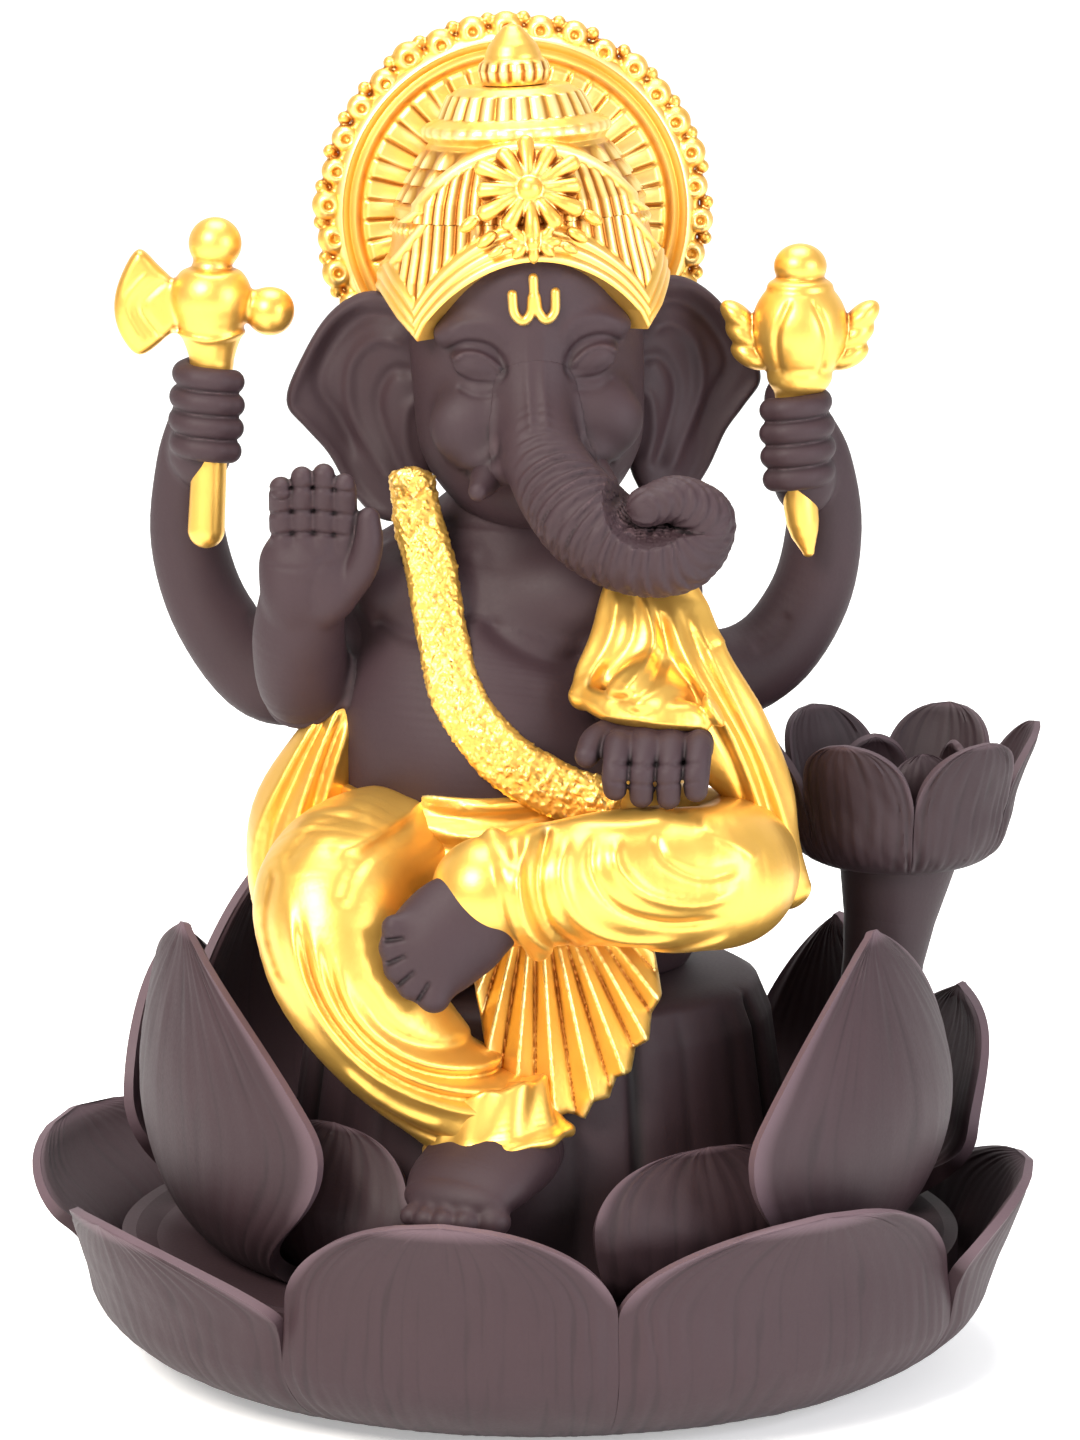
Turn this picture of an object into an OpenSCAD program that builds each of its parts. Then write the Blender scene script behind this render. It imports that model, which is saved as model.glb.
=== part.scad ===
// Seated elephant-headed deity on a lotus, with a small lotus bowl for an incense cone.
// Slip-cast ceramic: every cast or pressed piece is its own node, luted to its neighbours.
// Frame: +Z up, the viewer stands on the -Y side, origin at the centre of the flat foot.
// "left" and "right" in names are as seen from the front. Millimetres.

/* [Lotus base] */
// Radius of the flat foot that the statue stands on
foot_r = 45; // [44:0.5:47]
// Radius of the floor dish at its rim
dish_r = 60; // [59:0.5:61]
// Height of the dish floor, where the smoke settles
floor_z = 17; // [16:0.5:18]
// How far the outer petals bulge out, part way up
bulge_r = 64.5; // [64:0.5:66]
// Height of that bulge
bulge_z = 11; // [10.5:0.5:12]
// Added to the radius of every outer petal's tip
tip_spread = 0; // [-1.5:0.5:2]
// Wall of a pressed petal
petal_wall = 3; // [2.8:0.1:3.2]

/* [Seat] */
// Height of the seat, where the figure sits
seat_z = 56; // [54:1:58]
// Radius of the seat at its top
seat_r = 32; // [31:0.5:33]

/* [Incense bowl] */
// Distance of the bowl's axis to the right of the foot's centre
bowl_x = 51; // [50:0.5:52]
// Distance of the bowl's axis behind the foot's centre
bowl_y = 3; // [1:1:5]
// Height of the underside of the bowl
bowl_z = 70.5; // [70:0.5:71.5]
// Radius of the bowl's cup
cup_r = 13; // [12:0.5:14]
// Radius at the tips of the bowl's petals
bowl_tip_r = 20.5; // [19.5:0.5:21.5]
// Radius of the smoke hole under the cone
smoke_r = 2.5; // [2:0.25:3]
// Radius of the flat ring that the cone stands on
cone_seat_r = 6; // [5.5:0.25:6.5]

/* [Figure] */
// Where the body's middle is, left or right of the foot's centre
body_x = -3; // [-4:0.5:-2]
// Turn of the head to the right
head_turn = 5; // [3:1:8]
// Lean of the head to the left
head_lean = 2.5; // [1:0.5:4]
// Height of the head's middle above the seat
head_z = 84; // [83:0.5:85]
// Radius of the halo with its beads
halo_r = 28.5; // [27.5:0.5:29]
// Number of beads round the halo
halo_beads_n = 28; // [26:2:30]
// Radius of an attribute's handle
handle_r = 2.6; // [2.4:0.1:2.8]

/* [Hidden] */
$fn = 48;
wall = 3.2;                        // casting wall of the hollow pieces
bowl_n = 6;                        // petals round the incense bowl
vent_r = 4;                        // firing vent in the underside
outer_rings = 12;                  // rings along an outer petal, which the dish's side repeats
joint_gap = 0.1;                   // slip left between luted pieces
close_angle = 0.06;                // half-angle that a petal's tip closes to, over its full one
bead_r = 2.7;                      // radius of a bead on the halo
halo_x = 0.5;                      // halo's centre to the right of the head's middle
halo_z = 22.3;                     // halo's centre above the head's middle
halo_y = 15;                       // halo's front face behind the head's middle

// Outer ring: where each trough between petals lies, clockwise from the front left, and the tip
// of the petal that follows it. [azimuth of trough, tip radius, tip height]
OUTER = [
  [-33, 66, 35],
  [9.5, 66, 33.5],
  [63, 71, 28.5],
  [116, 70, 30],
  [168, 70, 30],
  [219, 77, 28.5],
  [271, 70, 27.5],
];
outer_n = len(OUTER);

// Tall petals. [azimuth, half-angle, root radius, fullest radius, tip radius, tip height]
TALL = [
  [-75, 32.8, 46, 56, 53, 66],
  [63, 32.8, 46, 58, 52, 65],
  [-128, 19.8, 46, 56, 52, 65],
  [122, 25.8, 46, 56, 52, 58],
  [180, 31.8, 46, 56, 50, 68],
  [-118, 21, 51.6, 60, 60, 56],
  [112, 21, 51.6, 62, 67, 48],
];

// Inner petals. [azimuth, half-angle, root radius, fullest radius, tip radius, tip height]
INNER = [
  [-44, 21, 40, 46, 41, 40],
  [28, 26, 40, 46, 41.5, 38],
];

clay = [0.27, 0.22, 0.23];
gold = [0.93, 0.72, 0.30];

// ---------- shared geometry ----------

function unit(v) = v / norm(v);
function bezier(p, t) =
  pow(1 - t, 3) * p[0] + 3 * t * pow(1 - t, 2) * p[1] + 3 * t * t * (1 - t) * p[2] + pow(t, 3) * p[3];

// Points of a Catmull-Rom curve through p, with `per` steps between neighbours
function smooth(p, per) = let (n = len(p) - 1) concat(
  [for (i = [0 : n - 1], k = [0 : per - 1]) let (
      t = k / per,
      a = i > 0 ? p[i - 1] : 2 * p[0] - p[1],
      b = p[i],
      c = p[i + 1],
      d = i + 2 <= n ? p[i + 2] : 2 * p[n] - p[n - 1])
    0.5 * (2 * b + (c - a) * t + (2 * a - 5 * b + 4 * c - d) * t * t + (3 * b - a - 3 * c + d) * t * t * t)],
  [p[n]]);

function xyz(s) = [s[0], s[1], s[2]];

// One oval of n points round c, across the direction t
function oval(c, t, ref, rx, ry, n) = let (s = unit(cross(t, ref)), w = cross(t, s))
  [for (k = [0 : n - 1]) let (a = 360 * k / n) c + rx * cos(a) * s + ry * sin(a) * w];

// A closed solid through a list of rings that all have the same even number of points.
// Its two ends are closed by strips, so a ring may be long and bent, like a petal's edge.
module skin(rings) {
  n = len(rings[0]);
  m = len(rings);
  polyhedron(
    points = [for (r = rings, p = r) p],
    faces = concat(
      [for (i = [0 : m - 2], k = [0 : n - 1]) let (j = (k + 1) % n) [i * n + k, (i + 1) * n + j, i * n + j]],
      [for (i = [0 : m - 2], k = [0 : n - 1]) let (j = (k + 1) % n) [i * n + k, (i + 1) * n + k, (i + 1) * n + j]],
      [for (e = [0, 1], k = [0 : n / 2 - 2]) let (q = e * (m - 1) * n)
        e == 0 ? [k, k + 1, n - 2 - k] : [q + k, q + n - 2 - k, q + k + 1]],
      [for (e = [0, 1], k = [0 : n / 2 - 2]) let (q = e * (m - 1) * n)
        e == 0 ? [k, n - 2 - k, n - 1 - k] : [q + k, q + n - 1 - k, q + n - 2 - k]]));
}

// A limb through stations [x, y, z, rx, ry]. rx lies across ref and ry along it.
module limb(stations, ref = [0, 1, 0], n = 12, per = 2) {
  s = smooth(stations, per);
  last = len(s) - 1;
  skin([for (i = [0 : last])
    let (t = unit(xyz(s[min(i + 1, last)]) - xyz(s[max(i - 1, 0)])))
    oval(xyz(s[i]), t, ref, s[i][3], s[i][4], n)]);
}

// A body of level ovals through stations [x, y, z, rx, ry]
module cast(stations, n = 16, per = 2) {
  s = smooth(stations, per);
  skin([for (q = s) [for (k = [0 : n - 1]) let (a = 360 * k / n)
    [q[0] + q[3] * cos(a), q[1] + q[4] * sin(a), q[2]]]]);
}

// A petal's profile: a lower curve up to the bulge, then an upper one that ends at the tip
function profile(low, high, v) = v < 0.5 ? bezier(low, 2 * v) : bezier(high, 2 * v - 1);

// The profile moved by t to its inner side
function inset(low, high, v, t) = let (
    e = 0.01,
    d = unit(profile(low, high, min(1, v + e)) - profile(low, high, max(0, v - e))))
  profile(low, high, v) + t * [-d[1], d[0]];

// A pressed petal round the Z axis. full is where it starts to close, cup pulls its edges in.
module petal(az, half, low, high, full, t, cup, nu = 6, nv = 8) {
  skin([for (j = [0 : nv]) let (
      v = j / nv,
      o = profile(low, high, v),
      q = inset(low, high, v, t * (1 - 0.4 * v)),
      w = half * (v <= full ? 1 : max(close_angle, sqrt(1 - pow((v - full) / (1 - full), 2)))),
      pull = cup * max(0, 2 * v - 1))
    concat(
      [for (i = [0 : nu]) let (u = 2 * i / nu - 1, a = az + w * u, r = o[0] - pull * u * u)
        [r * sin(a), -r * cos(a), o[1]]],
      [for (i = [nu : -1 : 0]) let (u = 2 * i / nu - 1, a = az + w * u, r = q[0] - pull * u * u)
        [r * sin(a), -r * cos(a), q[1]]])]);
}

// ---------- lotus base ----------

// The lower curve that all the outer petals share, where they are luted to the dish
outer_low = [[foot_r, 0], [foot_r + 10, 1.2], [bulge_r - 2, bulge_z - 5.5], [bulge_r, bulge_z]];
function outer_high(r, z) =
  [[bulge_r, bulge_z], [bulge_r + 1.8, bulge_z + 6.5], [r - 2.5, z - 9], [r, z]];

module base_dish() color(clay) difference() {
  rotate_extrude() polygon(concat(
    [[0, 0], [foot_r - joint_gap, 0]],
    [for (k = [0 : 5]) let (v = k / outer_rings)
      inset(outer_low, outer_high(70, 30), v, petal_wall * (1 - 0.4 * v) + 2 * joint_gap)],
    [[dish_r, bulge_z + 2], [dish_r, floor_z + 1], [dish_r - 2, floor_z + 1], [dish_r - 5, floor_z],
     [0, floor_z]]));
  translate([0, 0, wall])
    cylinder(r1 = foot_r - 4, r2 = foot_r + 8, h = floor_z - 2 * wall);
  translate([0, foot_r / 2, -1])
    cylinder(r = vent_r, h = wall + 2);
  translate([0, 0, floor_z - wall - 1])
    cylinder(r = vent_r, h = wall + 2);
}

module outer_petal(i) let (
    p = OUTER[i],
    next = i + 1 < outer_n ? OUTER[i + 1][0] : OUTER[0][0] + 360)
  color(clay) petal((p[0] + next) / 2, (next - p[0]) / 2 - 0.06,
    outer_low, outer_high(p[1] + tip_spread, p[2]), 0.78, petal_wall, 3, 10, outer_rings);

module dish_petal(p) let (swell = p[3] + 1, rise = p[5] - floor_z)
  color(clay) petal(p[0], p[1],
    [[p[2], floor_z + joint_gap], [p[2] + 5, floor_z + 2], [swell - 1, floor_z + 0.2 * rise],
     [swell, floor_z + 0.42 * rise]],
    [[swell, floor_z + 0.42 * rise], [swell + 1, floor_z + 0.62 * rise],
     [p[4] + 2, floor_z + 0.85 * rise], [p[4], p[5]]], 0.5, 2.6, 0.07 * rise, 6, 10);

// The tall petals that grow round the bowl's stalk are cut back to it.
module tall_petal(i) color(clay) difference() {
  dish_petal(TALL[i]);
  if (TALL[i][0] > 0 && TALL[i][0] < 180) stalk_form();
}

seat_profile = [[0, floor_z + joint_gap], [seat_r + 4.5, floor_z + joint_gap], [seat_r + 4, seat_z - 24],
                [seat_r + 1, seat_z - 5], [seat_r - 2, seat_z], [0, seat_z]];

// The seat's outside as one solid, for pieces that lie against it
module seat_solid() rotate_extrude() polygon(seat_profile);

module seat_pod() color(clay) difference() {
  rotate_extrude()
    polygon(seat_profile);
  translate([0, 0, floor_z - 1])
    cylinder(r1 = seat_r + 1, r2 = seat_r - 5, h = seat_z - floor_z - wall + 1);
  translate([0, 0, seat_z - wall - 1])
    cylinder(r = vent_r, h = wall + 2);
}

// ---------- incense bowl ----------

stalk_foot = [bowl_x - 7, bowl_y - 4, floor_z];
stalk_axis = [bowl_x, bowl_y, bowl_z] - stalk_foot;
stalk_lean = acos(stalk_axis[2] / norm(stalk_axis));
stalk_turn = atan2(stalk_axis[1], stalk_axis[0]);

module along_stalk() translate(stalk_foot) rotate([0, stalk_lean, stalk_turn]) children();

// Smoke falls from the cone through the bowl's hole and the stalk's bore to a mouth above the dish.
module stalk_bores() {
  along_stalk() translate([0, 0, 6]) rotate([0, 0, 90]) cylinder(r = smoke_r + 0.5, h = norm(stalk_axis) + 4);
  translate(stalk_foot + 10 * unit(stalk_axis)) rotate([90, 0, 0]) cylinder(r = smoke_r, h = 12);
}

module stalk_form() along_stalk() rotate([0, 0, 90]) rotate_extrude()
  polygon([[0, -3], [6, -3], [5.6, 8], [5.4, 26], [5.8, 40], [6.6, 46], [9, 57], [0, 57]]);

module bowl_stalk() color(clay) difference() {
  stalk_form();
  translate([bowl_x, bowl_y, bowl_z]) cylinder(r = 20, h = 20);
  translate([stalk_foot[0], stalk_foot[1], floor_z - 10]) cylinder(r = 14, h = 10 + joint_gap);
  stalk_bores();
}

module cone_bowl() color(clay) difference() {
  translate([bowl_x, bowl_y, bowl_z]) rotate_extrude()
    polygon([[0, 0], [8, 0], [cup_r - 1, 4.5], [cup_r, 10], [cup_r - 2, 10], [cup_r - 3, 6.2],
             [cone_seat_r + 1, 4], [cone_seat_r, 5], [0, 5]]);
  translate([bowl_x, bowl_y, bowl_z - 3]) cylinder(r = smoke_r, h = 20);
}

module bowl_petal(i) color(clay) translate([bowl_x, bowl_y, bowl_z])
  petal(-25 + 360 / bowl_n * i, 180 / bowl_n - 0.15,
        [[10.4, joint_gap], [cup_r + 0.8, 0.8], [cup_r + 2.8, 3.6], [cup_r + 3.4, 8]],
        [[cup_r + 3.4, 8], [cup_r + 4, 12], [bowl_tip_r - 0.5, 16.5], [bowl_tip_r, 20]],
        0.55, 1.8, 1.6, 6, 10);

module bowl_bud_petals() color(clay) translate([bowl_x, bowl_y, bowl_z]) for (i = [0 : 3])
  petal(20 + 90 * i, 34, [[cup_r - 3.4, 6.1], [cup_r - 3, 8.2], [cup_r - 2.5, 10], [cup_r - 2.3, 12]],
        [[cup_r - 2.3, 12], [cup_r - 2.2, 14.4], [cup_r - 3.2, 16], [cup_r - 4.2, 17]],
        0.3, 1.6, 1, 4, 6);

// ---------- figure ----------

module at_figure() translate([body_x, 0, seat_z]) children();

// The head group is drawn facing -Y about the head's middle, then leant and turned.
module at_head() at_figure() translate([1.2, -2, head_z])
  rotate([0, -head_lean, head_turn]) children();

module torso_form() at_figure() cast([
    [0, 3, 0.1, 24, 19],
    [0, 3, 8, 27, 20],
    [-1, 1, 18, 26, 20.5],
    [-3, -3, 28, 23, 20.5],
    [-3.5, -4.5, 38, 22.3, 20],
    [-2, -2, 48, 21, 16.5],
    [0, 0, 56, 21.5, 14],
    [1, 1, 63, 17.5, 12],
    [1, 1, 70, 9, 9]]);

module torso_hollow() at_figure() cast([
    [0, 3, -1, 18, 14],
    [-1, 1, 18, 21, 16],
    [-3, -3, 36, 18, 15.5],
    [0, 0, 54, 13, 9],
    [0, 0, 60, 5, 4]], n = 12);

module torso() color(clay) difference() {
  torso_form();
  torso_hollow();
  head_form();
  thigh_forms();
}

module head_form() at_head() cast([
    [0, -3, -20, 5, 5],
    [0, -3, -16, 11, 10],
    [0, -2.5, -9, 15.3, 14],
    [0, -2, 0, 16.2, 15.2],
    [0, -1.5, 8, 16.4, 16],
    [0, -1, 16, 16.6, 16.6],
    [0, -1, 22, 13, 13],
    [0, -1, 26, 6, 6]]);

module trunk_form() at_figure() limb([
    [2, -18.5, 91, 4, 3.2],
    [2.6, -21.5, 82.5, 4.8, 4.6],
    [4.5, -24.5, 74.5, 5.7, 5.6],
    [9.5, -26.5, 67.6, 6.4, 6.4],
    [17, -27, 64, 6.6, 6.6],
    [24, -26, 66, 6, 6],
    [25.5, -26, 71.6, 4.6, 4.6],
    [20.5, -27.5, 74.4, 3.4, 3.4]], ref = [0, 1, 0]);

module head() color(clay) difference() {
  head_form();
  trunk_form();
}

module trunk() color(clay) trunk_form();

module tusks() color(clay) difference() {
  for (side = [-1, 1]) at_head() limb([
      [side * 6, -14, -9, 2.6, 2.6],
      [side * 8.5, -18.5, -12, 2.2, 2.2],
      [side * 10, -22, -12.5, 1.2, 1.2]], ref = [0, 0, 1], n = 8);
  head_form();
  trunk_form();
}

// One ear, thin and swept back, drawn on the right and mirrored for the left
module ear(side) color(clay) difference() {
  at_head() scale_side(side) translate([13.5, 1, 0]) rotate([0, 0, 14]) rotate([90, 0, 0])
    linear_extrude(4.2, center = true)
      polygon([[0, 9], [4, 13], [9, 13.6], [14, 10.6], [18, 4.5], [21, -1.5], [18.6, -5], [15, -9],
               [12.2, -14.6], [8, -19], [3, -18], [0, -10]]);
  head_form();
  crown_solid();
}
module scale_side(side) if (side > 0) children(); else mirror([1, 0, 0]) children();

module face_opening() at_head() translate([0, -2, -1.1]) rotate([90, 0, 0]) cylinder(r = 18.6, h = 30);

module crown_band() color(gold) difference() {
  at_head() translate([0, -0.5, 0]) rotate_extrude()
    polygon([[17.2, 8], [20.6, 8], [21, 11], [20.4, 16], [19.4, 20], [18.6, 24], [15.5, 24], [16.9, 16]]);
  face_opening();
  head_form();
}

module crown_cap() color(gold) difference() {
  at_head() translate([0, -0.5, 24.1]) rotate_extrude()
    polygon([[0, 0], [17.6, 0], [16.4, 4], [13.4, 9], [12.6, 10.4], [13, 12], [10.6, 13.6], [9.2, 16.5],
             [7.4, 17.6], [0, 17.6]]);
  head_form();
  at_head() translate([0, -0.5, 38]) cylinder(r = 2.05, h = 5);
}

module crown_finial() color(gold) at_head() translate([0, -0.5, 41.8]) {
  rotate_extrude()
    polygon([[0, 0], [4.6, 0], [5, 2], [4.4, 3.6], [3.2, 4.4], [2.4, 6], [0.8, 8.2], [0, 8.4]]);
  translate([0, 0, -3.6]) cylinder(r = 2, h = 3.8);
}

module crown_medallion() color(gold) difference() {
  at_head() translate([0, -15.4, 24]) rotate([78, 0, 0]) union() {
    cylinder(r = 5.4, h = 4.6);
    cylinder(r = 2.6, h = 6);
    for (k = [0 : 7]) rotate([0, 0, 22.5 * (k - 0.5)]) translate([5.4, 0, 0]) cylinder(r = 2.2, h = 5);
    translate([0, -5.5, 0]) cylinder(r = 3, h = 5);
  }
  crown_solid();
}

// The crown's outside as one solid, for pieces that are luted on it
module crown_solid() at_head() translate([0, -0.5, 0]) rotate_extrude()
  polygon([[0, 8], [20.6, 8], [21, 11], [20.4, 16], [19.4, 20], [18.6, 24], [16.4, 28.1], [13.4, 33.1],
           [12.6, 34.5], [13, 36.1], [10.6, 37.7], [0, 41]]);

module halo_disc() color(gold) difference() {
  at_head() translate([halo_x, halo_y, halo_z]) rotate([-90, 0, 0]) {
    cylinder(r = halo_r - 3.4, h = 3);
    rotate_extrude() translate([halo_r - 4.6, 0]) circle(r = 1.3);
    translate([0, 0, -3.5]) cylinder(r = 3, h = 4);
  }
  crown_solid();
  at_head() translate([0, -0.5, 8]) cylinder(r = 17, h = 14);
}

module halo_beads() color(gold) difference() {
  at_head() translate([halo_x, halo_y + 1.5, halo_z]) rotate([-90, 0, 0]) {
    for (k = [0 : halo_beads_n - 1]) rotate([0, 0, 360 * k / halo_beads_n])
      translate([halo_r - bead_r, 0, 0]) sphere(r = bead_r);
    rotate_extrude() translate([halo_r - 3.4, -1.2]) square([1.6, 2.4]);
  }
  at_head() translate([halo_x, halo_y, halo_z]) rotate([-90, 0, 0]) translate([0, 0, -3])
    cylinder(r = halo_r - 3.3, h = 8);
}

module forehead_mark() color(gold) difference() {
  at_head() translate([0, -16.6, 13.1]) rotate([90, 0, 0]) {
    for (side = [-1, 1]) translate([side * 1.6, 0, 0]) rotate([0, 0, 180])
      rotate_extrude(angle = 180) translate([1.1, 0]) square([0.9, 1.6]);
    for (x = [-3.1, 0, 3.1]) translate([x - 0.45, -0.01, 0]) cube([0.9, x == 0 ? 4 : 2.6, 1.6]);
  }
  head_form();
}

module axe_arm_form() at_figure() limb([
    [-17, 3, 47, 6, 6],
    [-27, 6, 41.5, 6.6, 6],
    [-36, 8, 40.5, 6.4, 6],
    [-43.5, 8.5, 49, 5.8, 5.6],
    [-47, 7.5, 60, 5.4, 5.2],
    [-46.6, 5, 71, 5, 5],
    [-43.8, 2.5, 78.5, 5.4, 6],
    [-42.4, 2, 81, 4, 4.6]], ref = [0, 1, 0], per = 2);

module lotus_arm_form() at_figure() limb([
    [17, 3, 47, 6, 6],
    [27, 6, 41, 6.6, 6],
    [35.5, 8, 43.6, 6.2, 6],
    [41.4, 8.5, 52, 5.8, 5.6],
    [43.4, 7.5, 62, 5.4, 5.2],
    [42.4, 5, 71.5, 5, 5],
    [39.4, 2.5, 77.5, 5.4, 6],
    [37.4, 2, 80, 4, 4.6]], ref = [0, 1, 0], per = 2);

module axe_handle(r) at_figure() translate([-44, -1.6, 63]) rotate([0, 3, 0]) cylinder(r = r, h = 24);
module lotus_handle(r) at_figure() translate([39.6, -1.6, 60]) rotate([0, -3, 0]) cylinder(r = r, h = 26);

module axe_arm() color(clay) difference() {
  axe_arm_form();
  torso_form();
  axe_handle(handle_r + joint_gap);
}
module lotus_arm() color(clay) difference() {
  lotus_arm_form();
  torso_form();
  lotus_handle(handle_r + joint_gap);
}

module battle_axe() color(gold) union() {
  axe_handle(handle_r);
  at_figure() translate([-43, -1.6, 94.4]) {
    cylinder(r1 = 3.2, r2 = 5.2, h = 6, center = true);
    translate([0, 0, 1.5]) sphere(r = 5.6);
    translate([0.6, 0, 9]) sphere(r = 3.7);
    translate([8.2, 0, -0.5]) sphere(r = 3.4);
    translate([0, 0, 0.5]) rotate([0, 90, 0]) cylinder(r = 2, h = 9);
    translate([-6, 0, 0.4]) rotate([90, 0, 0]) linear_extrude(4, center = true)
      polygon([[2, 2.4], [-3.4, 7.4], [-6.6, 3], [-7.2, -1], [-6, -4.6], [-3.6, -7], [2, -2.4]]);
  }
  at_figure() translate([-43.7, -1.6, 87]) cylinder(r1 = handle_r, r2 = 5, h = 6);
}

module lotus_bud() color(gold) union() {
  lotus_handle(handle_r);
  at_figure() translate([39.4, -1.6, 83]) {
    rotate_extrude()
      polygon([[0, 0], [3.2, 0], [6.4, 6], [7.2, 10], [6, 13.6], [3.9, 15.2], [4.1, 17.4], [2.6, 19.8], [0, 20.4]]);
    for (side = [-1, 1]) translate([side * 6.4, 0, 9]) rotate([90, 0, 0]) linear_extrude(4, center = true)
      polygon([[0, -6], [side * 3.2, -2], [side * 4.2, 2], [side * 3.4, 5], [0, 4.6]]);
  }
}

module blessing_form() at_figure() limb([
    [-22, -2, 50, 6.4, 6.4],
    [-27, -5, 42.5, 6.8, 6.6],
    [-29.8, -9, 41.8, 6.8, 6.6],
    [-30.6, -14, 50, 6.6, 6],
    [-29.4, -18, 58, 6.2, 4.8],
    [-28.6, -20, 64, 7.4, 3.4],
    [-28.2, -20.6, 71, 7.2, 2.6],
    [-28, -20.4, 75, 6.4, 1.8]], ref = [0, 1, 0], per = 2);

module thumb_form() at_figure() limb([
    [-24.5, -19, 60, 2.6, 2.4],
    [-21.6, -20.5, 64.5, 2.3, 2.2],
    [-20.6, -20.8, 68, 1.6, 1.6]], ref = [0, 1, 0], n = 8);

module blessing_arm() color(clay) difference() {
  union() { blessing_form(); thumb_form(); }
  torso_form();
  axe_arm_form();
  gather_form();
}

module resting_form() at_figure() {
  limb([
    [12, -12, 52, 6.5, 6],
    [17, -21, 44, 6.4, 5.6],
    [18, -28, 40.5, 8, 3.6],
    [18, -33, 38, 8.6, 3.2],
    [17.6, -36, 33.6, 7.6, 2.6],
    [17.4, -36.6, 31, 6, 2]], ref = [0, 1, 0], n = 12, per = 2);
}

module resting_hand() color(clay) difference() {
  resting_form();
  torso_form();
  drape_form();
}

// ---------- dress ----------

module sash_form() at_figure() limb([
    [-13, -13, 65, 3.2, 1.4],
    [-11.4, -16.6, 60, 3.6, 1.5],
    [-9.8, -19.6, 50, 3.6, 1.5],
    [-7.4, -23, 42, 3.8, 1.5],
    [-2.4, -25.8, 35, 3.9, 1.5],
    [5, -26.6, 30.5, 3.9, 1.6],
    [12.5, -27.6, 28.5, 3.4, 1.6]], ref = [0, 1, 0], n = 10);

module thread_sash() color(gold) difference() {
  sash_form();
  torso_form();
  waist_form();
}

module drape_form() at_figure() limb([
    [18, -15, 62, 5.6, 2.6],
    [18.4, -20, 54, 8.4, 3],
    [19.6, -24, 46, 10.4, 3.2],
    [28, -25, 38, 7.2, 3.4],
    [33.4, -24, 30, 4.6, 3.4],
    [34, -24, 22, 4.6, 3.4],
    [37.6, -24, 15.6, 3.4, 2.4]], ref = [0, 1, 0], n = 12);

module shoulder_drape() color(gold) difference() {
  drape_form();
  torso_form();
  thigh_forms();
}

module waist_form() at_figure() cast([
    [-1, 0.5, 17, 28, 23],
    [-2, -1.4, 21, 28.2, 23.6],
    [-2.6, -3, 26, 26.4, 23.4],
    [-3, -3.4, 30, 24, 21.6]], n = 20, per = 2);

module waist_wrap() color(gold) difference() {
  waist_form();
  torso_form();
  thigh_forms();
}

module gather_form() at_figure() limb([
    [-23, -10, 38.5, 3, 2.4],
    [-27.6, -9.6, 31, 5.6, 4.6],
    [-31.6, -8, 22, 6.6, 7.4],
    [-32.4, -9, 13, 5.4, 7.2],
    [-32.6, -12, 5.6, 3, 4]], ref = [0, 1, 0]);

module hip_gather() color(gold) difference() {
  gather_form();
  torso_form();
  waist_form();
  hanging_form();
}

module hanging_form() at_figure() limb([
    [-12, -8, 15, 12, 11],
    [-20, -20, 17.5, 12, 11.4],
    [-25, -31, 16.5, 11, 11],
    [-24, -36, 8, 11, 10.4],
    [-17.5, -36, -2, 10.4, 9.4],
    [-9.5, -36, -10, 8.8, 8],
    [-3, -37, -15.4, 8, 7.4]], ref = [1, 0, 0], n = 14);

module folded_form() at_figure() limb([
    [8, -8, 17, 12, 11],
    [20, -17, 19, 11.6, 10.6],
    [29, -25, 19.4, 9.6, 10],
    [27, -33, 19.4, 9.2, 10],
    [16, -36.6, 20, 8.4, 9.4],
    [4, -39.6, 19.6, 7.6, 8.2],
    [-4.4, -41.4, 19, 7.4, 7.6]], ref = [0, 0, 1], n = 14);

module thigh_forms() { hanging_form(); folded_form(); }

module hanging_leg() color(gold) difference() {
  hanging_form();
  folded_form();
  seat_solid();
}

module folded_leg() color(gold) folded_form();

module apron_form() at_figure() limb([
    [9, -30, 11.4, 8.6, 3.4],
    [10.6, -33, 5, 8.8, 3],
    [10.4, -34.4, -3, 8, 3],
    [8.6, -35.6, -9, 5.4, 2.8],
    [7, -36.4, -13.6, 3.2, 2.2]], ref = [0, 1, 0], n = 14);

module pleated_apron() color(gold) difference() {
  apron_form();
  thigh_forms();
  seat_solid();
}

module cuff_form() at_figure() limb([
    [-4.4, -37.4, -10.4, 8.6, 7.8],
    [-3.4, -38, -14.2, 9.4, 8.4],
    [-2.8, -38.2, -17.4, 10.8, 9.4]], ref = [0, 1, 0], n = 16);

module ankle_cuff() color(gold) difference() {
  cuff_form();
  hanging_form();
  apron_form();
  planted_form();
  seat_solid();
}

module tucked_form() at_figure() limb([
    [0, -42.4, 18, 4.6, 4],
    [-6, -43.8, 15.4, 7.2, 4.4],
    [-12, -45.2, 12.6, 8, 4.6],
    [-16.4, -46, 10.6, 6.4, 4],
    [-18, -46.2, 10, 4, 3]], ref = [0, 1, 0], n = 12);

module tucked_foot() color(clay) difference() {
  tucked_form();
  folded_form();
  hanging_form();
}

module planted_form() at_figure() limb([
    [0, -33, -19, 6, 5],
    [-3, -39, -18.4, 8, 6.2],
    [-7, -46, -20.8, 8.4, 5.2],
    [-10, -51, -23, 7.4, 3.6],
    [-11, -53, -23.8, 4.6, 2.4]], ref = [0, 0, 1], n = 12);

module planted_foot() color(clay) difference() {
  planted_form();
  hanging_form();
  seat_solid();
}
// ---------- what is drawn ----------

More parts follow.
